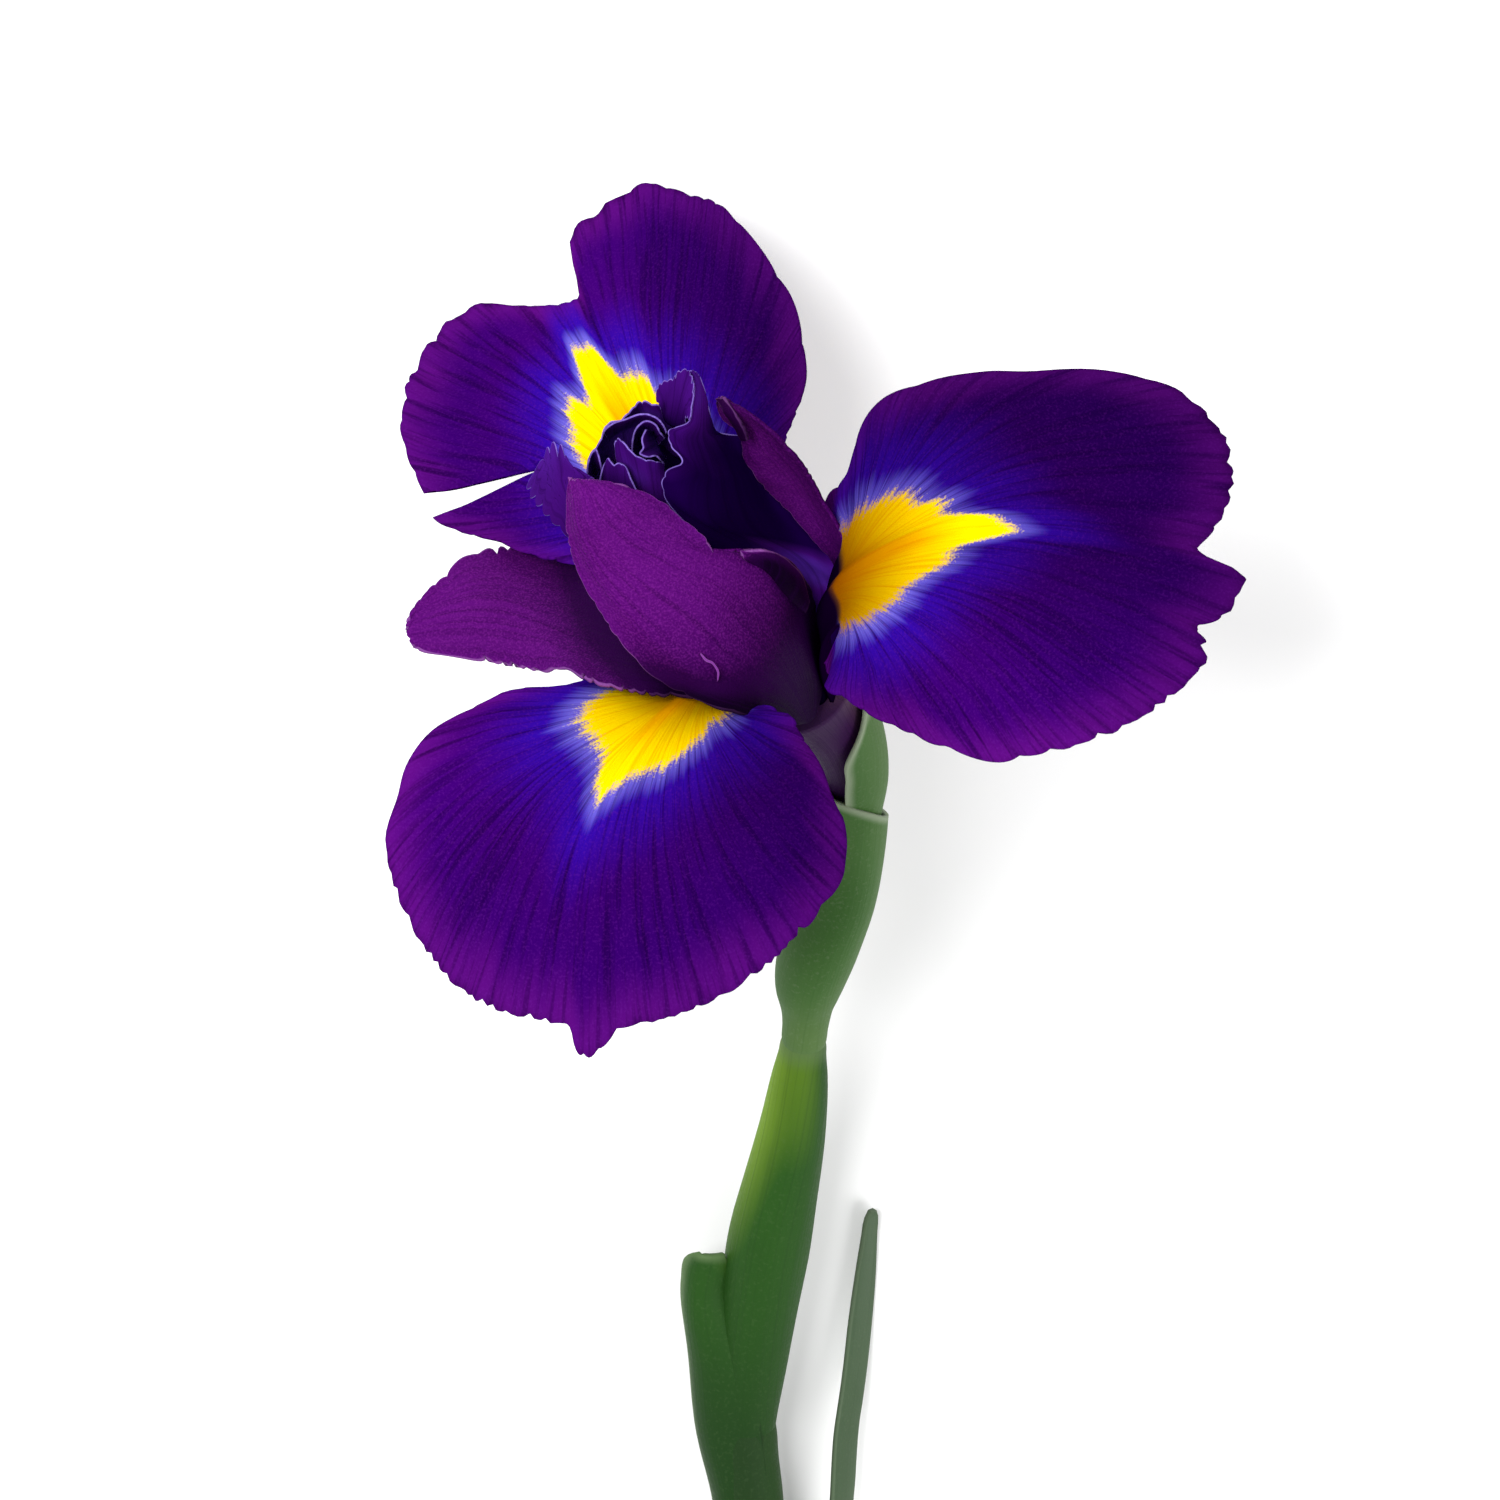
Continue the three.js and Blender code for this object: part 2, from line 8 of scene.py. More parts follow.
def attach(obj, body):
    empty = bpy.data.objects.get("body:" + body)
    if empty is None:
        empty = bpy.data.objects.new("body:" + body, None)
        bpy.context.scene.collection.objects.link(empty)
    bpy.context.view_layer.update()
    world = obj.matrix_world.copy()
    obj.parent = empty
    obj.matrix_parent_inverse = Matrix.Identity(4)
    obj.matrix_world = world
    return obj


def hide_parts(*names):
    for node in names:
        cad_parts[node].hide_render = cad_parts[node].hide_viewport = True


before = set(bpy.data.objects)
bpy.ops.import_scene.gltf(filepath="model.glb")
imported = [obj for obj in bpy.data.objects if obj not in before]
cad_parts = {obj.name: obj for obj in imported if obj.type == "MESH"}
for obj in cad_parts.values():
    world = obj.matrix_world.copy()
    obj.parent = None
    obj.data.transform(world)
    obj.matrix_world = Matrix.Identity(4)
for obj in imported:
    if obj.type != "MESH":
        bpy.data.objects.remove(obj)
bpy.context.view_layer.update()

# Sizes below are in millimetres, angles in degrees; every vertex is scaled to metres as it is placed
mm = 0.001
originShift = Vector((-6.3245, 71.2285, 0.613))  # from the places below to the frame's origin
flowerBase = Vector((6.0, 6.6, 41.0))
flowerHeading = 117.9
flowerElevation = 31.5
flowerRoll = 14.0
seatGap = 0.7  # from the tube's rim to the falls
clawDepth = 2.5  # how far a fall runs back into the tube
stemEnd = -199.0
stemStep = 0.2  # to both sides, for the stem's direction
midribStep = 0.25
midribSpare = 1.3  # share of a fall's length over which its midrib is traced
flattestBend = 1e-5  # keeps a flat section from dividing by nothing
steepColumns = 25
steepClear = 0.2
noMargin = 9  # counts as far from any margin
otherSide = 40  # shifts the teeth of the second margin, so that the two differ

# What one unit of the vein map stands for
veinLength = 50
fanAngle = 90
ribWidth = 26
leafWidth = 20
archWidth = 0.4  # on the map, over the whole section
roundWidth = 4  # on the map, once round


# Smooth curve through (position, value) knots, held level past both ends
def curve(knots, position):
    last = len(knots) - 1
    if position <= knots[0][0]:
        return knots[0][1]
    if position >= knots[last][0]:
        return knots[last][1]
    i = 0
    while position > knots[i + 1][0]:
        i += 1

    def slope(k):
        return (knots[k + 1][1] - knots[k][1]) / (knots[k + 1][0] - knots[k][0])

    def tangent(k):
        if k == 0:
            return slope(0)
        if k == last:
            return slope(last - 1)
        before = knots[k][0] - knots[k - 1][0]
        after = knots[k + 1][0] - knots[k][0]
        return (slope(k - 1) * after + slope(k) * before) / (before + after)

    reach = knots[i + 1][0] - knots[i][0]
    t = (position - knots[i][0]) / reach
    t2 = t * t
    t3 = t2 * t
    return (
        (2 * t3 - 3 * t2 + 1) * knots[i][1]
        + (t3 - 2 * t2 + t) * reach * tangent(i)
        + (3 * t2 - 2 * t3) * knots[i + 1][1]
        + (t3 - t2) * reach * tangent(i + 1)
    )


def blend(a, b, t):
    return a + (b - a) * t


def between(value, low, high):
    return min(max(value, low), high)


# The flower's own directions: along its axis, towards its back fall and sideways
def flowerDirections():
    heading = math.radians(flowerHeading)
    elevation = math.radians(flowerElevation)
    axis = Vector((
        math.cos(elevation) * math.cos(heading),
        math.cos(elevation) * math.sin(heading),
        math.sin(elevation),
    ))
    down = (Vector((0, 0, -1)) + axis * axis.z).normalized()
    back = Quaternion(axis, math.radians(flowerRoll)) @ down
    return axis, back, back.cross(axis)


flowerAxis, flowerBack, flowerSide = flowerDirections()

# The camera looks down on the flower, 20 degrees from upright; its picture is square
viewTilt = math.radians(20)
viewDistance = 700.0
viewPixels = 6167.4
pictureSize = 1500
sensorWidth = 36
viewRight = Vector((1, 0, 0))
viewUp = Vector((0, math.cos(viewTilt), -math.sin(viewTilt)))
viewTowards = Vector((0, math.sin(viewTilt), math.cos(viewTilt)))
viewMiddle = Vector((0, 0, 43.407))


def radialDirection(azimuth):
    turn = math.radians(azimuth)
    return flowerBack * math.cos(turn) + flowerSide * math.sin(turn)


# Midrib of a fall: point, across and inward directions, one every midribStep
def traceMidrib(petal):
    out = radialDirection(petal["azimuth"])
    across = radialDirection(petal["azimuth"] + 90)
    point = flowerBase + flowerAxis * seatGap + out * petal["radius"]
    stations = []
    for step in range(int(petal["length"] * midribSpare / midribStep) + 1):
        y = step * midribStep
        lean = math.radians(curve(petal["lean"], y))
        twist = math.radians(curve(petal["twist"], y))
        inward = flowerAxis * math.sin(lean) - out * math.cos(lean)
        stations.append((
            point.copy(),
            across * math.cos(twist) + inward * math.sin(twist),
            inward * math.cos(twist) - across * math.sin(twist),
        ))
        point = point + (flowerAxis * math.cos(lean) + out * math.sin(lean)) * midribStep
    return stations


# Point (x, y) of the fall laid flat, bent to its midrib and its cupped section and raised by lift
def curvedPoint(petal, x, y, lift):
    midrib = petal["midrib"]
    place = between(y / midribStep, 0, len(midrib) - 1.001)
    i = int(place)
    part = place - i
    centre, across, inward = (midrib[i][k].lerp(midrib[i + 1][k], part) for k in range(3))
    if y < 0:
        centre = centre + (midrib[1][0] - midrib[0][0]) * (y / midribStep)
    bend = curve(petal["cup"], y)
    if abs(bend) < flattestBend:
        bend = flattestBend
    return centre + across * (math.sin(bend * x) / bend) + inward * ((1 - math.cos(bend * x)) / bend + lift)


# Small rounded teeth along the margin, uneven in width and depth
def toothDepth(teeth, place):
    depth, width, seed = teeth
    wander = noise.noise(Vector((place * 0.17, seed, 0))) * 1.6
    size = 0.75 + 0.9 * noise.noise(Vector((place * 0.41, seed + 7, 0)))
    return depth * max(size, 0.15) * (1 - abs(math.sin(math.pi * (place / width + wander))) ** 0.7)


def marginReach(petal, angle):
    return curve(petal["outline"], angle)


# Fall laid flat: a narrow haft, then veins that fan out to an outline given in polar form
def flatPoint(petal, u, angle):
    edge = petal["outline"]
    v = -angle / edge[0][0] if angle < 0 else angle / edge[-1][0]
    if u <= petal["haftShare"]:
        y = blend(-clawDepth, petal["haft"], u / petal["haftShare"])
        return v * curve(petal["haftWidth"], y), y
    reach = marginReach(petal, angle)
    t = (u - petal["haftShare"]) / (1 - petal["haftShare"])
    turn = math.radians(angle)
    reach -= toothDepth(petal["teeth"], turn * reach) * t ** 8
    start = (v * curve(petal["haftWidth"], petal["haft"]), petal["haft"])
    first = 0.33 * reach
    second = 0.3 * reach
    end = (reach * math.sin(turn), petal["haft"] + reach * math.cos(turn))
    leave = (start[0] + first * math.sin(turn * 0.45), start[1] + first * math.cos(turn * 0.45))
    arrive = (end[0] - second * math.sin(turn * 0.95), end[1] - second * math.cos(turn * 0.95))
    s = 1 - t
    return tuple(
        s * s * s * start[k] + 3 * s * s * t * leave[k] + 3 * s * t * t * arrive[k] + t * t * t * end[k]
        for k in range(2)
    )


# Share of the way along a tear from its inner end, distance to its side, and its direction
def tearPlace(tear, x, y):
    (tipX, tipY), (endX, endY) = tear["from"], tear["to"]
    length = math.hypot(endX - tipX, endY - tipY)
    along = ((endX - tipX) / length, (endY - tipY) / length)
    share = ((x - tipX) * along[0] + (y - tipY) * along[1]) / length
    return share, (y - tipY) * along[0] - (x - tipX) * along[1], along


# Moves the petal apart along a tear; points on its lips go right onto the line first
def tearPetal(tear, x, y, onLip):
    share, off, along = tearPlace(tear, x, y)
    if share <= 0 or abs(off) > tear["spread"]:
        return x, y
    side = 1 if off > 0 else -1
    push = side * tear["gap"] * share * (1 - abs(off) / tear["spread"])
    if onLip:
        push = side * tear["gap"] * share - off
    return x - along[1] * push, y + along[0] * push


# Cells of the grid that a tear runs through, and their corners
def tearLips(tear, flat):
    sides = {}
    for spot, (x, y) in flat.items():
        share, off, along = tearPlace(tear, x, y)
        sides[spot] = 0 if share <= 0 or abs(off) > tear["reach"] else (1 if off > 0 else -1)
    cells = set()
    lips = set()
    for j, i in flat:
        corners = [(j, i), (j + 1, i), (j, i + 1), (j + 1, i + 1)]
        found = {sides[corner] for corner in corners if corner in sides}
        if 1 in found and -1 in found:
            cells.add((j, i))
            lips.update(corner for corner in corners if corner in sides)
    return cells, lips


# Height of the waves, edge ripples, folds and middle ridge above the plain curved fall
def petalLift(petal, u, angle, x, y):
    nearEdge = between((u - 0.45) / 0.55, 0, 1) ** 1.6
    lift = 0
    for height, count, start in petal["waves"]:
        lift += height * nearEdge * math.sin(math.radians(count * angle + start))
    ripple, length, seed = petal["ripple"]
    place = math.radians(angle) * marginReach(petal, angle)
    wander = noise.noise(Vector((place * 0.05, seed, 0))) * 2
    lift += ripple * nearEdge ** 4 * math.sin(2 * math.pi * (place / length + wander))
    along = Vector((x * 0.22, y * 0.05, seed))
    lift += petal["folds"] * noise.noise(along) * between(u * 3, 0, 1)
    height, width, low, high = petal["ridge"]
    share = between((y - low) / 6, 0, 1) * between((high - y) / 10, 0, 1)
    return lift + height * share * math.exp(-((x / width) ** 2))


# Even columns, with closer ones where the outline has steep steps
def columnAngles(petal):
    low = petal["outline"][0][0]
    high = petal["outline"][-1][0]
    columns = petal["fineColumns"]
    angles = [blend(low, high, j / (columns - 1)) for j in range(columns)]
    for start, end in petal["steep"]:
        own = [blend(start, end, j / (steepColumns - 1)) for j in range(steepColumns)]
        angles = [angle for angle in angles if not start - steepClear < angle < end + steepClear] + own
    return sorted(angles)


# How far outside the yellow signal a point of the fall laid flat lies
# The haft is yellow only along its middle
def signalDistance(petal, x, y):
    rise = y - petal["haft"]
    outside = math.hypot(x, rise) - curve(petal["signal"], math.degrees(math.atan2(x, rise)))
    return blend(outside, abs(x) * 4 - 6, between(-rise / 3, 0, 1))


# Painted shade on the signal near the throat, darkening its yellow to brown orange, from its share at the
# haft down to 0 at its reach
def signalShadeAt(petal, x, y):
    share, reach = petal["signalShade"]
    away = math.hypot(x * 0.7, max(y - petal["haft"], 0))
    return share * between(1 - away / reach, 0, 1)


# Painted darkness: 0 in the light, 1 in the shade, 2 deep in the throat
def petalShade(petal, x, y):
    rise = y - petal["haft"]
    angle = math.degrees(math.atan2(x, max(rise, 0.1)))
    shade = curve(petal["shade"], angle)
    # Painted shadow deep in the throat, where the haft lies hidden under the standards
    throatShade = between(1 - (rise + petal["throatShade"]) / 3, 0, 1) * between((7 - abs(x)) / 2, 0, 1)
    return shade + (2 - shade) * throatShade


def newObject(name, mesh, material, slot, *nodes):
    data = bpy.data.meshes.new(name)
    mesh.to_mesh(data)
    mesh.free()
    data.materials.append(material)
    piece = bpy.data.objects.new(name, data)
    bpy.context.scene.collection.objects.link(piece)
    for polygon in data.polygons:
        polygon.use_smooth = True
    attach(piece, "root")
    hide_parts(*nodes)
    return piece


def solidify(piece, thickness):
    sheet = piece.modifiers.new("thickness", "SOLIDIFY")
    sheet.thickness = thickness * mm
    sheet.offset = 0
    sheet.use_even_offset = False


def placed(point):
    return (point + originShift) * mm


# A sheet over a grid: place(j, u) gives the point, its place on the vein map and the marks
# Only the falls give the last two marks
def sheetMesh(columns, rows, place, openCells=()):
    mesh = bmesh.new()
    bmesh.ops.create_grid(mesh, x_segments=columns - 1, y_segments=rows - 1, size=0.5)
    layers = [mesh.verts.layers.float.new(name) for name in ("rim", "shade", "signal", "signalShade")]
    chart = mesh.loops.layers.uv.new("veins")
    found = {}
    for vert in mesh.verts:
        j = round((vert.co.x + 0.5) * (columns - 1))
        i = round((vert.co.y + 0.5) * (rows - 1))
        found[vert] = place(j, i / (rows - 1))
    split = []
    for face in mesh.faces:
        middle = face.calc_center_median()
        j = math.floor((middle.x + 0.5) * (columns - 1))
        i = math.floor((middle.y + 0.5) * (rows - 1))
        if (j, i) in openCells:
            split.append(face)
    for vert, (point, uv, marks) in found.items():
        vert.co = placed(point)
        for layer, mark in zip(layers, marks):
            vert[layer] = mark
    for face in mesh.faces:
        for loop in face.loops:
            loop[chart].uv = found[loop.vert][1]
    bmesh.ops.delete(mesh, geom=split, context="FACES")
    mesh.normal_update()
    return mesh


def petalPiece(name, shape, material, slot):
    petal = dict(shape)
    petal["midrib"] = traceMidrib(petal)
    angles = columnAngles(petal)
    rows = petal["fineRows"]
    flat = {(j, i): flatPoint(petal, i / (rows - 1), a) for j, a in enumerate(angles) for i in range(rows)}
    openCells, lips = tearLips(petal["tear"], flat) if "tear" in petal else ((), ())

    def place(j, u):
        angle = angles[j]
        spot = (j, round(u * (rows - 1)))
        x, y = flat[spot]
        if "tear" in petal:
            x, y = tearPetal(petal["tear"], x, y, spot in lips)
        point = curvedPoint(petal, x, y, petalLift(petal, u, angle, x, y))
        reach = marginReach(petal, angle)
        along = max(u - petal["haftShare"], 0) / (1 - petal["haftShare"])
        uv = (angle / fanAngle, (u * petal["haft"] + along * reach) / veinLength)
        rim = (1 - along) * reach
        marks = (rim, petalShade(petal, x, y), signalDistance(petal, x, y), signalShadeAt(petal, x, y))
        return point, uv, marks

    mesh = sheetMesh(len(angles), rows, place, openCells)
    piece = newObject(name, mesh, material, slot, shape["node"])
    solidify(piece, petal["thickness"])


# Point that the camera sees at a place of its picture, depth millimetres nearer than the picture's middle
def seenPoint(across, down, depth):
    scale = (viewDistance - depth) / viewPixels
    return (
        viewMiddle
        + viewRight * ((across - pictureSize / 2) * scale)
        + viewUp * ((pictureSize / 2 - down) * scale)
        + viewTowards * depth
    )


# Petal of one or more sheets drawn through ribs of (across, down, depth, shade) points
def ribPiece(name, shape, material, slot, *nodes):
    meshes = [ribMesh(part) for part in shape["parts"]]
    whole = bpy.data.meshes.new("whole")
    joined = bmesh.new()
    for mesh in meshes:
        mesh.to_mesh(whole)
        mesh.free()
        joined.from_mesh(whole)
    bpy.data.meshes.remove(whole)
    piece = newObject(name, joined, material, slot, *nodes)
    solidify(piece, shape["thickness"])


# Every column of the sheet crosses all ribs at one share of their width
def ribMesh(part):
    columns, rows = part["grid"]
    width, length = part["size"]
    ribs = part["ribs"]
    last = len(ribs) - 1
    traced = []
    for j in range(columns):
        v = j / (columns - 1)
        lines = [[], [], [], []]
        for r, rib in enumerate(ribs):
            for k in range(4):
                knots = [(p / (len(rib) - 1), point[k]) for p, point in enumerate(rib)]
                lines[k].append((r / last, curve(knots, v)))
        traced.append(lines)
    seed = part["teeth"][2]

    def place(j, u):
        v = j / (columns - 1)
        side = 1 - toothDepth(part["teeth"], u * length + otherSide * round(v)) / width * 2
        row = u * (1 - toothDepth(part["teeth"], v * width) / length)
        spot = between(0.5 + (v - 0.5) * side, 0, 1) * (columns - 1)
        low = min(int(spot), columns - 2)
        across, down, depth, shade = (
            blend(curve(traced[low][k], row), curve(traced[low + 1][k], row), spot - low) for k in range(4)
        )
        rim = min(v * width, (noMargin if "folded" in part else 1 - v) * width, (1 - u) * length)
        wave = noise.noise(Vector((v * width * 0.22, u * length * 0.07, seed)))
        ruffle = noise.noise(Vector((u * length * 0.35 + v * width * 0.35, seed + 3, 0)))
        lift = part["folds"] * wave + part["ruffle"] * ruffle * math.exp(-rim / 1.6)
        point = seenPoint(across, down, depth + lift * between(u * 6, 0, 1))
        return point, (v * width / ribWidth, u * length / veinLength), (rim, shade)

    return sheetMesh(columns, rows, place)


print("stage: materials")


# A material and short ways to add its nodes
class Paint:
    def __init__(self, name):
        self.material = bpy.data.materials.new(name)
        self.material.use_nodes = True
        self.tree = self.material.node_tree
        self.shader = self.tree.nodes["Principled BSDF"]

    def node(self, kind, **values):
        made = self.tree.nodes.new(kind)
        for key, value in values.items():
            setattr(made, key, value)
        return made

    def feed(self, socket, value):
        if isinstance(value, bpy.types.NodeSocket):
            self.tree.links.new(value, socket)
        else:
            socket.default_value = value

    def math(self, operation, a, b):
        made = self.node("ShaderNodeMath", operation=operation)
        self.feed(made.inputs[0], a)
        self.feed(made.inputs[1], b)
        return made.outputs[0]

    # A value of 0 to 1 turned into a swing to both sides of 0
    def swing(self, value, size):
        return self.math("MULTIPLY", self.math("SUBTRACT", value, 0.5), size)

    def ramp(self, value, low, high, start=0.0, end=1.0, smooth=True):
        made = self.node("ShaderNodeMapRange", interpolation_type="SMOOTHSTEP" if smooth else "LINEAR")
        for socket, part in zip(made.inputs, (value, low, high, start, end)):
            self.feed(socket, part)
        return made.outputs[0]

    def mix(self, share, first, second):
        made = self.node("ShaderNodeMix", data_type="RGBA")
        self.feed(made.inputs["Factor"], share)
        self.feed(made.inputs[6], first)
        self.feed(made.inputs[7], second)
        return made.outputs[2]

    def mark(self, name):
        return self.node("ShaderNodeAttribute", attribute_name=name).outputs["Fac"]

    def grain(self, source, stretch, detail=3.0, roughness=0.55):
        placedAt = self.node("ShaderNodeMapping")
        self.feed(placedAt.inputs["Vector"], source)
        placedAt.inputs["Scale"].default_value = stretch
        made = self.node("ShaderNodeTexNoise")
        self.feed(made.inputs["Vector"], placedAt.outputs[0])
        made.inputs["Scale"].default_value = 1.0
        made.inputs["Detail"].default_value = detail
        made.inputs["Roughness"].default_value = roughness
        return made.outputs["Fac"]

    def chart(self):
        return self.node("ShaderNodeUVMap", uv_map="veins").outputs[0]

    def objectPlace(self):
        return self.node("ShaderNodeTexCoord").outputs["Object"]

    def bump(self, height, strength, distance):
        made = self.node("ShaderNodeBump")
        made.inputs["Strength"].default_value = strength
        made.inputs["Distance"].default_value = distance * mm
        self.feed(made.inputs["Height"], height)
        self.feed(self.shader.inputs["Normal"], made.outputs[0])

    def finish(self, colour, roughness, specular):
        self.feed(self.shader.inputs["Base Color"], colour)
        self.feed(self.shader.inputs["Roughness"], roughness)
        self.shader.inputs["Specular IOR Level"].default_value = specular
        return self.material


# Linear colour from the 0 to 255 values of a screen
def rgb(red, green, blue):
    def linear(value):
        value /= 255
        return value / 12.92 if value <= 0.04045 else ((value + 0.055) / 1.055) ** 2.4
    return (linear(red), linear(green), linear(blue), 1.0)


# Painted shade runs from 0 in the light to 1 in the dark; 2 is the painted shadow deep in the throat. The
# four colours are lit and shaded copies of one material
def shaded(paint, light, middle, dark, throatShade):
    shade = paint.mark("shade")
    first = paint.mix(paint.ramp(shade, 0.0, 0.5, smooth=False), light, middle)
    second = paint.mix(paint.ramp(shade, 0.5, 1.0, smooth=False), first, dark)
    return paint.mix(paint.ramp(shade, 1.2, 1.9), second, throatShade)


def fallPaint():
    paint = Paint("fall")
    chart = paint.chart()
    broad = paint.grain(chart, (9, 0.8, 1))
    fine = paint.grain(chart, (42, 1.6, 1), 4.0, 0.6)
    hair = paint.grain(chart, (110, 2.5, 1), 2.0)
    glintGrain = paint.grain(paint.objectPlace(), (3800, 3800, 3800), 1.0)
    jag = paint.swing(fine, 4.0)
    lobes = paint.swing(paint.grain(chart, (16, 1.2, 1)), 4.0)
    signal = paint.math("ADD", paint.math("ADD", paint.mark("signal"), jag), lobes)
    drift = paint.swing(broad, 14.0)
    body = shaded(paint, rgb(56, 1, 102), rgb(40, 0, 82), rgb(25, 0, 56), rgb(14, 0, 28))
    margin = paint.math("ADD", paint.mark("rim"), drift)
    # Painted light from the painted shade mark: margins, the blue halo and highlight specks fade where the
    # painted shade is dark
    light = paint.ramp(paint.mark("shade"), 0.1, 1.0, 1.0, 0.0)
    paintedLight = paint.math("ADD", paint.math("MULTIPLY", light, 0.5), 0.5)
    # Purple margins: partly the fall's own colour, partly a painted sheen of light on the velvet
    edge = paint.math("MULTIPLY", paint.ramp(margin, 0.0, 9.0, 0.5, 0.0), paintedLight)
    purple = paint.mix(edge, body, rgb(98, 16, 118))
    around = paint.math("MULTIPLY", paint.ramp(signal, 1.0, 14.5, 0.95, 0.0), paintedLight)
    blue = paint.mix(around, purple, rgb(38, 8, 148))
    halo = paint.math("MULTIPLY", paint.ramp(signal, 0.4, 4.2, 0.85, 0.0), paintedLight)
    pale = paint.mix(halo, blue, rgb(104, 96, 196))
    thick = paint.mix(paint.ramp(fine, 0.5, 0.68, 0.0, 0.6), pale, rgb(18, 0, 46))
    dark = paint.mix(paint.ramp(hair, 0.5, 0.66, 0.0, 0.4), thick, rgb(16, 0, 42))
    # Specks of painted highlight, for the glints on the velvet; the same grain roughens the signal's border
    specks = paint.math("MULTIPLY", paint.ramp(glintGrain, 0.45, 0.8, 0.0, 0.24), paintedLight)
    lit = paint.mix(specks, dark, rgb(94, 26, 130))
    ridge = paint.math("ADD", signal, paint.math("MULTIPLY", broad, 6.0))
    gold = paint.mix(paint.ramp(ridge, -12.0, -1.0, 0.7, 0.0), rgb(236, 202, 0), rgb(212, 130, 0))
    yellow = paint.mix(paint.ramp(fine, 0.48, 0.64, 0.0, 0.4), gold, rgb(206, 112, 0))
    # Painted shade near the throat darkens the signal's yellow to brown orange
    yellowInShade = paint.mix(paint.mark("signalShade"), yellow, rgb(132, 66, 0))
    rough = paint.math("ADD", signal, paint.swing(glintGrain, 3.0))
    bright = paint.mix(paint.ramp(rough, -1.2, 1.0, 1.0, 0.0), lit, yellowInShade)
    # Painted shadow deep in the throat covers every colour
    colour = paint.mix(paint.ramp(paint.mark("shade"), 1.2, 1.9), bright, rgb(14, 0, 28))
    paint.bump(paint.math("ADD", fine, paint.math("MULTIPLY", hair, 0.4)), 0.35, 0.5)
    roughness = paint.ramp(hair, 0.3, 0.7, 0.62, 0.78)
    return paint.finish(colour, roughness, specular=0.0)


def standardPaint():
    paint = Paint("standard")
    chart = paint.chart()
    fine = paint.grain(chart, (22, 1.1, 1), 4.0, 0.6)
    hair = paint.grain(chart, (70, 2.0, 1), 2.0)
    glintGrain = paint.grain(paint.objectPlace(), (4200, 4200, 4200), 1.0)
    body = shaded(paint, rgb(82, 10, 104), rgb(62, 4, 82), rgb(32, 1, 48), rgb(12, 0, 22))
    veins = paint.mix(paint.ramp(fine, 0.5, 0.68, 0.0, 0.5), body, rgb(30, 0, 46))
    threads = paint.mix(paint.ramp(hair, 0.52, 0.66, 0.0, 0.3), veins, rgb(30, 0, 50))
    light = paint.ramp(paint.mark("shade"), 0.4, 1.3, 1.0, 0.0)
    # Specks of painted highlight, for the glints on the petal, fading in painted shade; the same grain also
    # feeds the bump
    specks = paint.math("MULTIPLY", paint.ramp(glintGrain, 0.4, 0.75, 0.0, 0.3), light)
    lit = paint.mix(specks, threads, rgb(122, 34, 138))
    edge = paint.math("MULTIPLY", paint.ramp(paint.mark("rim"), 0.0, 0.2, 0.9, 0.0), hair)
    pale = paint.math("MULTIPLY", edge, paint.ramp(paint.mark("shade"), 0.5, 1.5, 1.0, 0.15))
    colour = paint.mix(pale, lit, rgb(150, 90, 165))
    paint.bump(paint.math("ADD", fine, paint.math("MULTIPLY", glintGrain, 0.5)), 0.45, 0.5)
    roughness = paint.ramp(hair, 0.3, 0.7, 0.55, 0.7)
    return paint.finish(colour, roughness, specular=0.01)


def crestPaint():
    paint = Paint("crest")
    chart = paint.chart()
    fine = paint.grain(chart, (24, 1.2, 1), 4.0, 0.6)
    hair = paint.grain(chart, (60, 12, 1), 2.0)
    body = shaded(paint, rgb(74, 34, 146), rgb(56, 10, 100), rgb(20, 0, 52), rgb(7, 0, 20))
    veins = paint.mix(paint.ramp(fine, 0.48, 0.66, 0.0, 0.45), body, rgb(12, 0, 34))
    edge = paint.math("MULTIPLY", paint.ramp(paint.mark("rim"), 0.0, 0.07, 1.4, 0.0), hair)
    colour = paint.mix(edge, veins, rgb(128, 104, 190))
    paint.bump(fine, 0.35, 0.5)
    roughness = paint.ramp(fine, 0.3, 0.7, 0.5, 0.66)
    return paint.finish(colour, roughness, specular=0.0)


# Green with long veins; bloom is the colour of its waxy dust, seen in specks and at the margins
def greenPaint(name, light, middle, dark, bloom, width=0.8):
    paint = Paint(name)
    place = paint.objectPlace()
    patches = paint.grain(place, (90, 36, 90))
    lines = paint.grain(paint.chart(), (46, 0.6, 1), 3.0, 0.5)
    specks = paint.grain(place, (2200, 2200, 2200), 1.0)
    body = shaded(paint, light, middle, dark, dark)
    mottled = paint.mix(paint.ramp(patches, 0.35, 0.7, 0.0, 0.3), body, dark)
    veined = paint.mix(paint.ramp(lines, 0.5, 0.68, 0.0, 0.22), mottled, dark)
    dusty = paint.mix(paint.ramp(specks, 0.5, 0.8, 0.0, 0.1), veined, bloom)
    colour = paint.mix(paint.ramp(paint.mark("rim"), 0.0, width, 0.8, 0.0), dusty, bloom)
    paint.bump(paint.math("ADD", lines, paint.math("MULTIPLY", specks, 0.3)), 0.25, 0.3)
    roughness = paint.ramp(specks, 0.3, 0.7, 0.5, 0.62)
    return paint.finish(colour, roughness, specular=0.1)


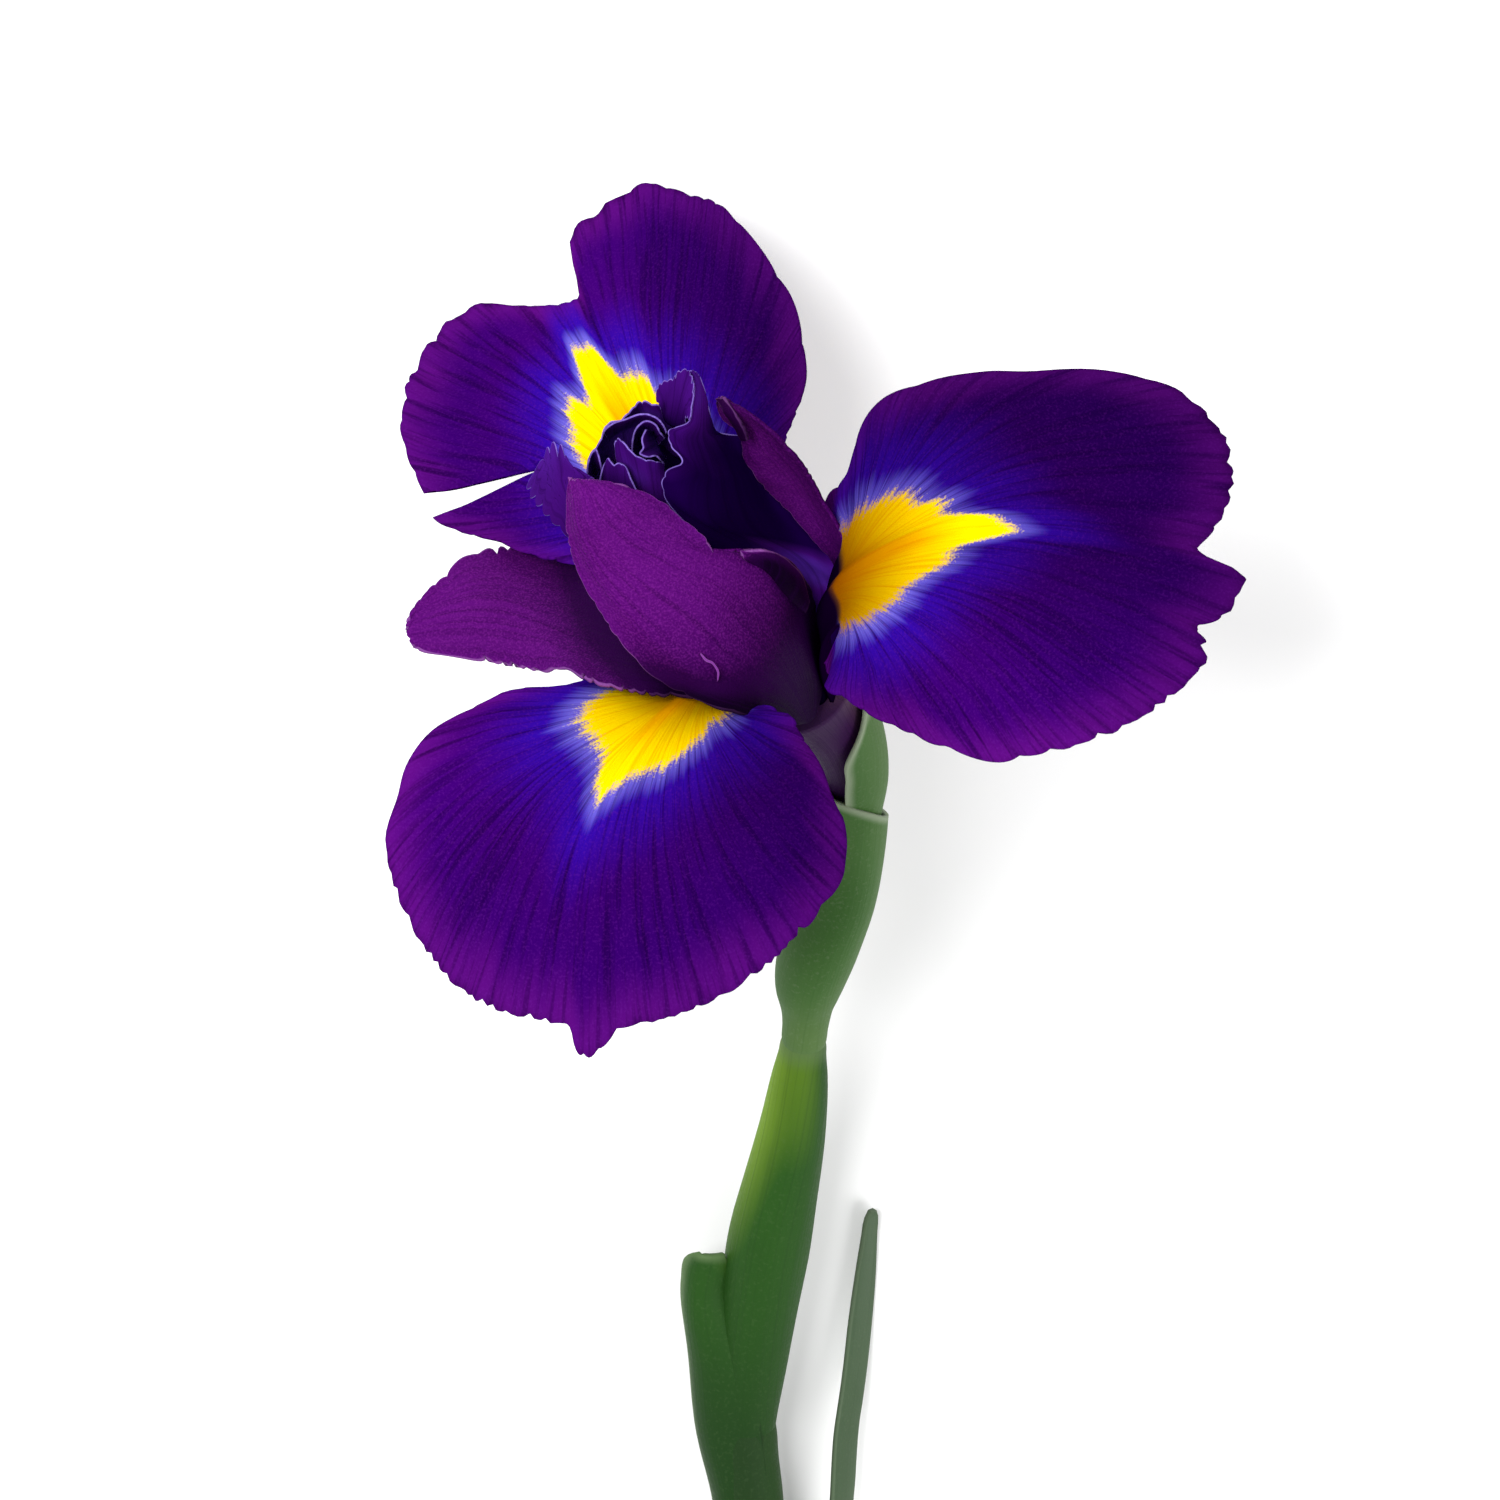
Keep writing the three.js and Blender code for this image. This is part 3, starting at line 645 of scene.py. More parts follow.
def tubePaint():
    paint = Paint("tube")
    lines = paint.grain(paint.chart(), (50, 0.8, 1))
    patches = paint.grain(paint.objectPlace(), (120, 60, 120))
    body = shaded(paint, rgb(90, 66, 72), rgb(52, 20, 64), rgb(30, 8, 48), rgb(16, 2, 30))
    mottled = paint.mix(paint.ramp(patches, 0.4, 0.65, 0.0, 0.35), body, rgb(34, 12, 46))
    colour = paint.mix(paint.ramp(lines, 0.5, 0.66, 0.0, 0.35), mottled, rgb(32, 14, 46))
    paint.bump(lines, 0.25, 0.3)
    return paint.finish(colour, paint.ramp(lines, 0.3, 0.7, 0.5, 0.62), specular=0.08)


fallMaterial = fallPaint()
standardMaterial = standardPaint()
crestMaterial = crestPaint()
stemMaterial = greenPaint("stem", rgb(70, 106, 34), rgb(38, 72, 24), rgb(26, 50, 20), rgb(80, 102, 68))
# The sheath's light colour is a painted highlight, used at its upper left where its painted shade is low
sheathMaterial = greenPaint(
    "sheath", rgb(104, 138, 30), rgb(34, 72, 20), rgb(24, 52, 18), rgb(84, 108, 68), 4.0,
)
spatheMaterial = greenPaint(
    "spathe", rgb(84, 110, 62), rgb(60, 94, 44), rgb(46, 82, 32), rgb(140, 152, 128), 1.4,
)
leafMaterial = greenPaint("leaf", rgb(92, 108, 88), rgb(60, 80, 54), rgb(36, 58, 34), rgb(108, 120, 100))
tubeMaterial = tubePaint()

print("stage: petals")
fall = {
    "radius": 4.3,
    "length": 68,
    "lean": [(0, 10), (12, 28), (25, 58), (38, 78), (52, 112), (68, 125)],
    "cup": [(0, 0.06), (12, 0.04), (22, 0.012), (34, -0.002), (45, -0.006), (70, -0.01)],
    "haft": 20,
    "haftShare": 0.3,
    "haftWidth": [(0, 2.4), (8, 3.2), (14, 3.8), (20, 4.5)],
    "fineColumns": 260,
    "fineRows": 48,
    "thickness": 0.45,
    "twist": [(0, 0)],
    "ridge": (1.1, 1.5, 8, 48),
    "folds": 0.5,
    "throatShade": 1.0,
    "signalShade": (0, 15),
}

fallFrontLeft = {
    **fall,
    "node": "fall_front_left",
    "azimuth": -130,
    "twist": [(0, 0), (15, 5), (27, 12), (70, 12)],
    "haftWidth": [(0, 2.4), (8, 2.6), (14, 2.8), (20, 3.2)],
    "signalShade": (0.75, 15),
    "outline": [
        (-105, 6), (-88, 8.5), (-76, 14), (-68, 19.5), (-63, 25), (-60, 28.5), (-53, 33.3), (-42, 38.8),
        (-33, 42), (-24, 44.3), (-16, 45.5), (-9, 46.2), (-6.5, 46.5), (-4.8, 47.7), (-3.4, 48.9),
        (-0.9, 49), (-0.3, 48), (0.2, 46.6), (2, 46.2), (11, 46), (18, 45.3), (25, 43.7), (30.5, 41.7),
        (36, 39.8), (40.5, 37.7), (43.5, 35), (48, 32.5), (53, 28.8), (58, 24.2), (62, 20), (68, 15.5),
        (85, 11.5), (105, 8),
    ],
    "steep": [(-6, 1.5)],
    "waves": [(0.7, 9, 20), (0.4, 4, 100)],
    "teeth": (0.75, 1.7, 3.0),
    "ripple": (0.4, 5.0, 11.0),
    "signal": [
        (-105, 3.5), (-75, 4.8), (-56, 6.5), (-47, 7.4), (-34, 8.8), (-30, 10.5), (-24, 11.7), (-17, 14),
        (-12, 15.2), (-6.3, 17.3), (-3, 18.2), (0, 20), (2.6, 21.7), (4.5, 21.4), (6.5, 20.2), (8.8, 18.3),
        (11.5, 16.6), (16, 15.6), (26, 14.9), (40, 14), (47, 12.7), (56, 10.8), (63, 9.5), (80, 8),
        (105, 6.5),
    ],
    "shade": [(-105, 1.0), (-60, 0.9), (-25, 0.6), (0, 0.45), (25, 0.35), (45, 0.15), (105, 0.5)],
}
fallRight = {
    **fall,
    "node": "fall_right",
    "azimuth": 129,
    "twist": [(0, 0), (15, -5), (27, -12), (70, -12)],
    "signalShade": (1.0, 22),
    "outline": [
        (-105, 11), (-98, 12.6), (-83, 14), (-71, 17.2), (-60, 20.7), (-49.5, 24.3), (-40.5, 28.4),
        (-34, 33), (-29.5, 38.6), (-25.5, 43.4), (-21, 46.8), (-16.5, 48.8), (-11.5, 49.3), (-8.8, 49.2),
        (-5.6, 48.6), (-3.6, 47.8), (-1.9, 47.1), (-0.3, 46.6), (0.8, 46.5), (1.1, 47.1), (1.7, 50.3),
        (2.3, 51.5), (3.7, 51.8), (5.5, 51.3), (7.4, 51.2), (8.3, 50.4), (9.4, 49.3), (10.3, 48.4),
        (11, 48.6), (11.8, 49.7), (13.4, 50.7), (17, 50.2), (23, 48.4), (30, 45.6), (37, 42), (45.5, 36.8),
        (55, 30.2), (63.5, 23.8), (73.5, 18), (83, 14.7), (105, 9.5),
    ],
    "steep": [(-3.5, 3), (8, 12)],
    "waves": [(0.7, 8, 200), (0.5, 5, 10)],
    "teeth": (0.75, 1.6, 23.0),
    "ripple": (0.4, 5.0, 31.0),
    "signal": [
        (-102, 7.4), (-81, 7.3), (-57, 8.6), (-41, 10.7), (-25, 14.4), (-17, 15.1), (-11, 17.8), (-5, 19.2),
        (-1.2, 23.9), (2.8, 25.6), (4.5, 22.9), (6.4, 19.6), (11.3, 18.2), (14.6, 16.6), (18.5, 14.5),
        (28, 12.6), (36, 11.2), (50, 8.9), (70, 6.8), (105, 5.6),
    ],
    "shade": [(-105, 0.8), (-50, 1.0), (-10, 0.95), (5, 0.9), (20, 0.6), (40, 0.3), (70, 0.6), (105, 1.0)],
}
fallBack = {
    **fall,
    "node": "fall_back",
    "azimuth": 5,
    "lean": [(0, 10), (12, 28), (25, 58), (38, 82), (52, 100), (68, 104)],
    "cup": [(0, 0.06), (12, 0.04), (22, 0.02), (30, 0.006), (45, 0.012), (70, 0.02)],
    "outline": [
        (-105, 7.5), (-88, 10.5), (-75, 14.5), (-65, 20), (-58, 25), (-54.5, 29), (-52, 30.8), (-49.5, 31.8),
        (-45.5, 33.6), (-39.5, 36.3), (-31, 40.2), (-26, 42.8), (-21, 45.8), (-16.5, 47.7), (-12.4, 48.9),
        (-9.6, 48), (-6.4, 44.4), (-2.2, 39.6), (2.7, 36), (4.2, 36.3), (4.8, 39), (5.4, 45.7), (6.9, 48.7),
        (9.4, 49.9), (12.5, 50.4), (15, 50.4), (18.5, 49.3), (23.2, 46.5), (28.5, 43), (34.3, 39.5),
        (39.5, 36.2), (45, 33.2), (55.5, 28.6), (61, 25.9), (65.5, 23.6), (73, 20), (80, 14.6), (88, 10),
        (105, 6),
    ],
    "steep": [(-9, 8)],
    "tear": {"from": (-10.5, 35.5), "to": (-24, 38.7), "gap": 1.5, "spread": 6.0, "reach": 2},
    "waves": [(0.5, 9, 60)],
    "teeth": (0.6, 1.7, 43.0),
    "ripple": (0.35, 5.5, 51.0),
    "signal": [
        (-90, 4), (-60, 8), (-45, 10), (-28.6, 14.3), (-23, 17.4), (-17, 19.6), (-10.8, 22), (-6.4, 21.3),
        (-4.3, 24), (-1.9, 27.8), (0.2, 27.4), (2.5, 26.2), (3.6, 23.2), (5, 21.4), (10.5, 19.9),
        (13.2, 19.6), (15.7, 17), (25, 15), (45, 9), (90, 4),
    ],
    "shade": [(-105, 0.8), (-50, 0.4), (-20, 0.3), (10, 0.2), (25, 0.6), (50, 0.9), (105, 1.0)],
}

# The standard that has fallen outwards, from its claw to its tip; its lower margin lies over the front fall
standardLeft = {
    "thickness": 0.45,
    "parts": [{
        "grid": (90, 150), "size": (13, 46), "teeth": (0.75, 2.1, 83.0), "folds": 0.6, "ruffle": 0.3,
        "ribs": [
            [(813, 704, -1.5, 1.6), (809, 700, -1.5, 1.6), (804, 696, -1.5, 1.6)],
            [(806, 720, 1, 1.6), (804, 714, 1.5, 1.6), (802, 706, 1, 1.6)],
            [(760, 702, 12, 1.5), (755, 684, 10, 1.5), (752, 660, 7, 1.5)],
            [(715, 698, 23, 1.4), (705, 672, 18, 1.5), (700, 630, 8, 1.5)],
            [(677, 697, 24.5, 1.8), (668, 660, 20, 1.6), (665, 600, 8, 1.6)],
            [(650, 695, 24.5, 1.4), (636, 652, 19.5, 1.5), (630, 575, 6, 1.6)],
            [(627, 691, 23.5, 0.9), (608, 645, 17, 1.2), (600, 555, 3, 1.5)],
            [(607, 687, 22.5, 0.6), (585, 638, 14.5, 0.95), (572, 543, 0, 1.3)],
            [(587, 680, 21.5, 0.5), (562, 630, 12, 0.65), (550, 544, 0, 0.95)],
            [(570, 674, 19, 0.45), (540, 622, 10, 0.4), (520, 546, 0.5, 0.7)],
            [(540, 672, 14, 0.4), (512, 612, 8, 0.25), (490, 549, 1.5, 0.5)],
            [(503, 665, 10.5, 0.35), (482, 608, 7.5, 0.15), (463, 558, 2.5, 0.35)],
            [(460, 658, 9, 0.3), (447, 612, 7, 0.1), (440, 580, 4.5, 0.2)],
            [(425, 652, 8, 0.2), (418, 622, 7.3, 0.1), (425, 594, 6, 0.15)],
            [(411, 645, 7.8, 0.15), (406, 630, 7.4, 0.1), (410, 614, 7, 0.15)],
        ],
    }],
}

# The style arm over the front fall: its body lies under the curled standard, its crest fans out beyond
styleArmFront = {
    "thickness": 0.15,
    "parts": [{
        "grid": (30, 60), "size": (8, 40), "teeth": (0.2, 2.2, 123.0), "folds": 0.4, "ruffle": 0.2,
        "ribs": [
            [(806, 700, -1.5, 1.6), (809, 698, -1.5, 1.6), (812, 696, -1.5, 1.6)],
            [(800, 716, 1, 1.6), (806, 712, 2, 1.6), (812, 706, 1, 1.6)],
            [(742, 668, 11, 1.5), (760, 650, 13, 1.5), (778, 632, 11, 1.5)],
            [(680, 626, 17, 1.4), (700, 600, 20, 1.4), (722, 578, 18, 1.4)],
            [(628, 582, 20, 1.2), (648, 556, 23, 1.2), (672, 534, 22, 1.2)],
            [(590, 552, 20.5, 0.9), (606, 532, 24.5, 0.9), (624, 514, 26, 0.9)],
        ],
    }, {
        "grid": (110, 60), "size": (11, 9), "teeth": (1.5, 1.9, 125.0), "folds": 1.2, "ruffle": 1.0,
        "ribs": [
            [(592, 556, 20, 1.0), (606, 540, 23, 1.0), (618, 528, 25, 1.0), (628, 516, 26, 1.0)],
            [(567, 536, 20.5, 0.7), (578, 522, 24, 0.7), (588, 510, 26.5, 0.7), (602, 500, 28, 0.8)],
            [(545, 515, 20, 0.5), (556, 498, 23.5, 0.5), (570, 487, 26, 0.55), (588, 484, 28.5, 0.7)],
            [
                (530, 496, 19.5, 0.42), (540, 480, 23, 0.45), (550, 468, 25, 0.42), (565, 467, 26.5, 0.5),
                (583, 477, 28.5, 0.5), (596, 484, 29, 0.5),
            ],
            [
                (525, 480, 19, 0.35), (536, 466, 22.5, 0.38), (543, 458, 24, 0.38), (550, 443, 25.5, 0.32),
                (561, 444, 26.5, 0.36), (569, 462, 27, 0.4), (583, 471, 28, 0.4), (596, 479, 28.8, 0.4),
            ],
        ],
    }],
}

# The standard that curls over the middle: the petal, its rolled lower margin and a pale scratch
standardFront = {
    "thickness": 0.45,
    "parts": [{
        "grid": (110, 120), "size": (26, 44), "teeth": (0.5, 2.2, 63.0), "folds": 0.5, "ruffle": 0.5,
        "ribs": [
            [(801, 702, -1.5, 1.6), (808, 700, -1.5, 1.6), (815, 696, -1.5, 1.6)],
            [(803, 722, 4, 1.6), (808, 721, 6, 1.6), (814, 716, 5, 1.6)],
            [
                (772, 719, 20, 2.0), (780, 706, 19, 1.7), (794, 695, 15, 1.4), (809, 685, 10, 1.6),
                (822, 678, 5, 1.9),
            ],
            [
                (727, 711, 27, 2.0), (745, 690, 25, 1.35), (770, 662, 22, 1.0), (797, 640, 17, 1.2),
                (818, 634, 9, 1.6),
            ],
            [
                (690, 697, 26.5, 1.9), (705, 670, 27, 0.8), (740, 628, 25, 0.65), (780, 596, 21.5, 0.85),
                (810, 590, 15, 1.2),
            ],
            [
                (651, 675, 27, 1.2), (672, 640, 28.5, 0.5), (712, 598, 28, 0.35), (752, 568, 25, 0.55),
                (786, 558, 20, 0.9),
            ],
            [
                (617, 637, 27.5, 0.4), (638, 608, 30, 0.3), (670, 575, 30.5, 0.2), (705, 555, 29, 0.3),
                (744, 550, 25, 0.6),
            ],
            [
                (602, 613, 28, 0.3), (620, 589, 31, 0.2), (649, 562, 31.5, 0.2), (684, 546, 30.5, 0.3),
                (718, 556, 27.5, 0.5),
            ],
            [
                (587, 590, 28.5, 0.2), (604, 570, 31.5, 0.2), (628, 550, 32.5, 0.2), (662, 533, 32, 0.3),
                (705, 537, 30, 0.3),
            ],
            [
                (575, 562, 30, 0.2), (590, 549, 32.6, 0.2), (611, 534, 33.5, 0.2), (641, 520, 33, 0.2),
                (682, 519, 31, 0.4),
            ],
            [
                (568, 532, 31, 0.2), (579, 526, 33.5, 0.2), (597, 515, 34.5, 0.2), (624, 504, 34.5, 0.2),
                (661, 501, 32.5, 0.4),
            ],
            [
                (568, 502, 32, 0.2), (575, 496, 33.6, 0.1), (587, 491, 34.6, 0.1), (602, 487, 34.8, 0.2),
                (624, 486, 34, 0.3),
            ],
            [(569, 477, 33, 0.1), (578, 480, 33.6, 0.1), (592, 481, 34, 0.1)],
        ],
    }, {
        "grid": (50, 16), "size": (9, 3), "teeth": (0.1, 2.0, 65.0), "folds": 0.3, "ruffle": 0.2,
        "ribs": [
            [(748, 560, 26, 1.0), (768, 572, 24.6, 1.7), (785, 594, 22.2, 1.7), (805, 612, 18.4, 1.5)],
            [(742, 556, 27, 0.7), (770, 561, 26, 1.8), (792, 581, 23.4, 1.8), (807, 607, 18.8, 1.5)],
            [
                (740, 552, 26.6, 0.4), (752, 550, 27, 0.4), (774, 552, 26, 0.9), (799, 572, 22.8, 1.0),
                (808, 602, 18.4, 0.9),
            ],
        ],
    }, {
        "grid": (6, 14), "size": (0.2, 4), "teeth": (0, 1, 66.0), "folds": 0, "ruffle": 0,
        "ribs": [
            [(700, 654, 27.9, 0), (701, 653, 27.9, 0)],
            [(705, 661, 27.7, 0), (707, 659, 27.7, 0)],
            [(712, 664, 27.5, 0), (713, 662, 27.5, 0)],
            [(717, 672, 27.3, 0), (719, 671, 27.3, 0)],
            [(717, 681, 27.1, 0), (718, 680, 27.1, 0)],
        ],
    }],
}

# The standard at the upper right: the petal, then its folded tip
standardRight = {
    "thickness": 0.45,
    "parts": [{
        "grid": (60, 120), "folded": True,
        "size": (9, 42), "teeth": (0.4, 1.8, 103.0), "folds": 0.3, "ruffle": 0.5,
        "ribs": [
            [(811, 695, -1.5, 1), (814, 697, -1.5, 1), (818, 698, -1.5, 1)],
            [(821, 691, 0, 1), (826, 693, 0, 1), (831, 693, 0, 1)],
            [(824, 630, 1, 1), (829, 630, 1.5, 1), (834, 632, 1, 1)],
            [(837, 572, 6.5, 1.0), (842, 566, 9, 0.8), (848, 566, 10, 1.1)],
            [(815, 541, 9, 0.5), (826, 530, 12, 0.4), (842, 534, 15.5, 0.6)],
            [(786, 508, 11.5, 0.4), (806, 496, 14.5, 0.2), (821, 497, 18, 0.7)],
            [(764, 486, 13, 0.4), (790, 474, 17, 0.2), (807, 471, 20.5, 0.8)],
            [(745, 460, 15.5, 0.5), (768, 450, 19.5, 0.3), (789, 448, 23, 0.8)],
            [(741, 434, 18, 0.8), (754, 425, 21.5, 0.4), (768, 428, 24, 0.8)],
            [(723, 418, 19.5, 0.4), (733, 410, 22, 0.3), (743, 409, 23.5, 0.8)],
            [(717, 402, 20.5, 1.0), (720, 397, 21.5, 0.9), (725, 399, 22, 0.8)],
        ],
    }, {
        "grid": (24, 40), "size": (2, 6), "teeth": (0.15, 1.5, 105.0), "folds": 0.2, "ruffle": 0.2,
        "ribs": [
            [(742, 440, 21, 1.6), (748, 440, 22, 1.5)],
            [(733, 424, 22.4, 1.7), (745, 430, 23, 1.4)],
            [(723, 410, 23, 1.5), (736, 414, 23.8, 1.1)],
            [(716, 399, 22, 1.1), (724, 397, 23, 0.9)],
        ],
    }],
}

# The right style arm: its long body, painted dark above where it lies in shade and paler on its lit flank,
# and the crest lobe at its left
styleArmRight = {
    "thickness": 0.15,
    "parts": [{
        "grid": (80, 170), "size": (13, 44), "teeth": (0.35, 2.2, 143.0), "folds": 0.7, "ruffle": 0.7,
        "ribs": [
            [(806, 698, -1.5, 1.9), (810, 697, -1.5, 1.9), (814, 696, -1.5, 1.9), (818, 695, -1.5, 1.9)],
            [(812, 700, 2, 1.9), (817, 702, 3, 1.9), (822, 702, 3, 1.9), (828, 700, 2, 1.9)],
            [(790, 650, 8, 1.9), (808, 648, 8, 1.5), (822, 648, 6, 1.3), (836, 650, 3, 1.5)],
            [(760, 610, 14, 1.6), (790, 608, 11, 1.3), (820, 600, 8, 0.75), (845, 606, 4, 0.8)],
            [(735, 576, 19, 1.2), (772, 566, 15, 0.6), (812, 574, 10, 0.05), (847, 590, 4, 0.7)],
            [(705, 545, 25, 1.5), (742, 543, 18, 1.1), (790, 552, 10, 0.3), (852, 574, 2, 0.6)],
            [(666, 500, 29, 1.2), (700, 518, 26, 1.3), (752, 530, 16, 1.2), (826, 536, 5, 1.4)],
            [(664, 474, 29.5, 0.9), (695, 492, 27, 1.1), (737, 502, 18.5, 1.1), (804, 508, 6, 1.4)],
            [(682, 461, 29.5, 0.9), (700, 474, 25.5, 1), (730, 476, 19, 1.0), (784, 480, 8.5, 1.4)],
            [(671, 446, 29.5, 0.8), (694, 456, 27, 0.9), (722, 456, 20.5, 1.0), (764, 456, 11.5, 1.3)],
            [(669, 430, 29, 0.7), (690, 438, 27, 0.8), (713, 440, 22, 0.9), (748, 438, 14.5, 1.2)],
            [(688, 422, 28.5, 0.6), (697, 425, 27, 0.6), (706, 430, 24, 0.8), (718, 432, 20, 1.1)],
            [(693, 400, 28, 0.5), (699, 402, 27, 0.4), (705, 408, 25, 0.6), (711, 417, 22.5, 0.8)],
            [(694, 385, 27.5, 0.5), (698, 385, 27, 0.4), (702, 388, 26, 0.5), (706, 395, 24.5, 0.6)],
            [(689, 371, 27, 0.5), (692, 370, 27, 0.4), (696, 372, 26.5, 0.4), (700, 377, 26, 0.5)],
        ],
    }, {
        "grid": (70, 30), "size": (14, 6), "teeth": (0.6, 1.2, 147.0), "folds": 0.3, "ruffle": 0.3,
        "ribs": [
            [(664, 419, 24, 1.0), (668, 424, 24.5, 1.0), (675, 427, 25, 1.0), (686, 427, 26, 1.0)],
            [
                (660, 408, 26, 0.8), (667, 402, 26, 0.6), (676, 398, 27, 0.6), (684, 400, 28, 0.6),
                (686, 418, 28, 0.7),
            ],
            [
                (655, 398, 26, 0.5), (660, 383, 27.5, 0.5), (673, 378, 28.5, 0.5), (678, 371, 29, 0.5),
                (689, 370, 29, 0.5), (694, 388, 29, 0.5), (690, 421, 29, 0.5),
            ],
        ],
    }],
}

# The back style arm: a plain body, and crest lobes curled into a rosette
styleArmBack = {
    "thickness": 0.18,
    "parts": [{
        "grid": (40, 60), "size": (9, 40), "teeth": (0.2, 2.2, 163.0), "folds": 0.4, "ruffle": 0.2,
        "ribs": [
            [(806, 694, -1.5, 1.5), (810, 696, -1.5, 1.5), (814, 697, -1.5, 1.5)],
            [(802, 684, 1, 1.5), (808, 686, 2, 1.5), (814, 688, 1, 1.5)],
            [(740, 600, 7, 1.5), (765, 592, 9, 1.5), (790, 590, 7, 1.5)],
            [(680, 540, 13, 1.5), (710, 530, 15, 1.5), (745, 525, 12, 1.5)],
            [(622, 495, 16, 1.4), (655, 470, 18, 1.5), (690, 455, 17, 1.5)],
            [(604, 470, 17, 1.2), (632, 446, 18, 1.4), (668, 432, 19, 1.2)],
        ],
    }, {
        "grid": (90, 20), "size": (15, 7), "teeth": (0.5, 1.3, 171.0), "folds": 0.3, "ruffle": 0.4,
        "ribs": [
            [
                (600, 490, 18, 0.9), (612, 470, 15, 0.6), (634, 456, 15, 0.6), (656, 452, 16, 0.6),
                (690, 462, 19, 0.8),
            ],
            [
                (592, 480, 20, 0.2), (606, 446, 20, 0.1), (632, 428, 21, 0.1), (656, 424, 22, 0.1),
                (696, 440, 23, 0.4),
            ],
            [
                (587, 477, 22, 0.5), (589, 457, 23, 0.4), (599, 443, 24, 0.4), (607, 424, 25, 0.5),
                (620, 420, 25.5, 0.8), (630, 411, 26, 0.7), (640, 401, 26, 0.6), (652, 403, 26, 0.6),
                (670, 408, 25, 0.8), (694, 408, 25, 0.9),
            ],
        ],
    }, {
        "grid": (70, 14), "size": (9, 5), "teeth": (0.15, 1.5, 172.0), "folds": 0.2, "ruffle": 0.3,
        "ribs": [
            [
                (609, 441, 20, 0.1), (618, 435, 20, 0.1), (632, 429, 20, 0.1), (648, 428, 20, 0.1),
                (660, 440, 20, 0.4),
            ],
            [
                (603, 432, 26, 0.9), (612, 424, 27, 0.8), (626, 419, 27.5, 0.8), (641, 414, 28, 0.7),
                (653, 416, 28, 0.7), (662, 423, 28, 0.8), (667, 433, 27, 1.0),
            ],
        ],
    }, {
        "grid": (60, 12), "size": (7, 4), "teeth": (0.15, 1.5, 173.0), "folds": 0.2, "ruffle": 0.3,
        "ribs": [
            [
                (641, 458, 20, 0.2), (641, 444, 20, 0.1), (646, 435, 20, 0.1), (652, 433, 20, 0.1),
                (658, 446, 20, 0.3),
            ],
            [
                (632, 453, 25, 0.7), (633, 437, 26, 0.6), (638, 426, 27, 0.6), (646, 421, 27.5, 0.6),
                (655, 424, 27.5, 0.7), (660, 432, 27, 0.8), (665, 438, 26, 0.9),
            ],
        ],
    }, {
        "grid": (60, 14), "size": (7, 4), "teeth": (0.15, 1.5, 174.0), "folds": 0.2, "ruffle": 0.3,
        "ribs": [
            [
                (653, 432, 22, 0.4), (656, 440, 23, 0.2), (658, 446, 23, 0.2), (661, 452, 23, 0.2),
                (666, 458, 22, 0.4),
            ],
            [
                (646, 429, 27, 0.6), (642, 439, 27.5, 0.5), (643, 448, 28, 0.5), (640, 454, 28.5, 0.5),
                (648, 457, 28.5, 0.5), (656, 456, 28, 0.6), (663, 463, 27, 0.9),
            ],
        ],
    }, {
        "grid": (90, 26), "size": (12, 7), "teeth": (0.2, 1.6, 175.0), "folds": 0.4, "ruffle": 0.3,
        "ribs": [
            [
                (620, 500, 22, 0.9), (632, 502, 23, 0.9), (644, 504, 25, 0.9), (656, 506, 26, 0.9),
                (668, 508, 26, 0.9),
            ],
            [
                (618, 472, 25, 0.5), (630, 478, 26.5, 0.4), (640, 482, 27, 0.4), (652, 484, 27.5, 0.5),
                (666, 486, 27, 0.7),
            ],
            [
                (614, 444, 28, 0.7), (618, 438, 28.5, 0.6), (625, 444, 29, 0.6), (634, 454, 29.5, 0.6),
                (642, 458, 29.5, 0.6), (655, 461, 29, 0.7), (664, 463, 28, 0.9),
            ],
        ],
    }, {
        "grid": (80, 20), "size": (9, 5), "teeth": (0.2, 1.4, 176.0), "folds": 0.3, "ruffle": 0.3,
        "ribs": [
            [
                (598, 494, 23, 0.9), (608, 496, 24, 0.9), (618, 498, 25, 0.9), (630, 502, 26, 0.9),
                (640, 506, 26, 0.9),
            ],
            [
                (599, 484, 26, 0.7), (603, 467, 27, 0.6), (608, 458, 28, 0.5), (613, 464, 28.5, 0.6),
                (620, 463, 28.8, 0.5), (626, 467, 28.8, 0.5), (631, 479, 28.8, 0.6), (637, 492, 28.5, 0.8),
            ],
        ],
    }, {
        "grid": (50, 12), "size": (5, 3), "teeth": (0.25, 1.2, 177.0), "folds": 0.2, "ruffle": 0.3,
        "ribs": [
            [(594, 486, 20, 0.7), (596, 474, 20, 0.6), (600, 470, 21, 0.6), (604, 480, 22, 0.7)],
            [
                (587, 479, 24, 0.4), (588, 462, 25, 0.4), (593, 451, 26, 0.4), (597, 451, 26.5, 0.4),
                (601, 466, 27, 0.5),
            ],
        ],
    }],
}

for shape in (fallFrontLeft, fallRight, fallBack):
    petalPiece(shape["node"] + "_petal", shape, fallMaterial, "petal_fall")
ribPiece("standard_left_petal", standardLeft, standardMaterial, "petal_standard", "standard_left")
ribPiece("style_arm_front_petal", styleArmFront, crestMaterial, "style_crest", "style_arm_front")
ribPiece("standard_front_petal", standardFront, standardMaterial, "petal_standard", "standard_front")
ribPiece("standard_right_petal", standardRight, standardMaterial, "petal_standard", "standard_right")
ribPiece("style_arm_right_petal", styleArmRight, crestMaterial, "style_crest", "style_arm_right")
ribPiece("style_arm_back_petal", styleArmBack, crestMaterial, "style_crest", "style_arm_back")

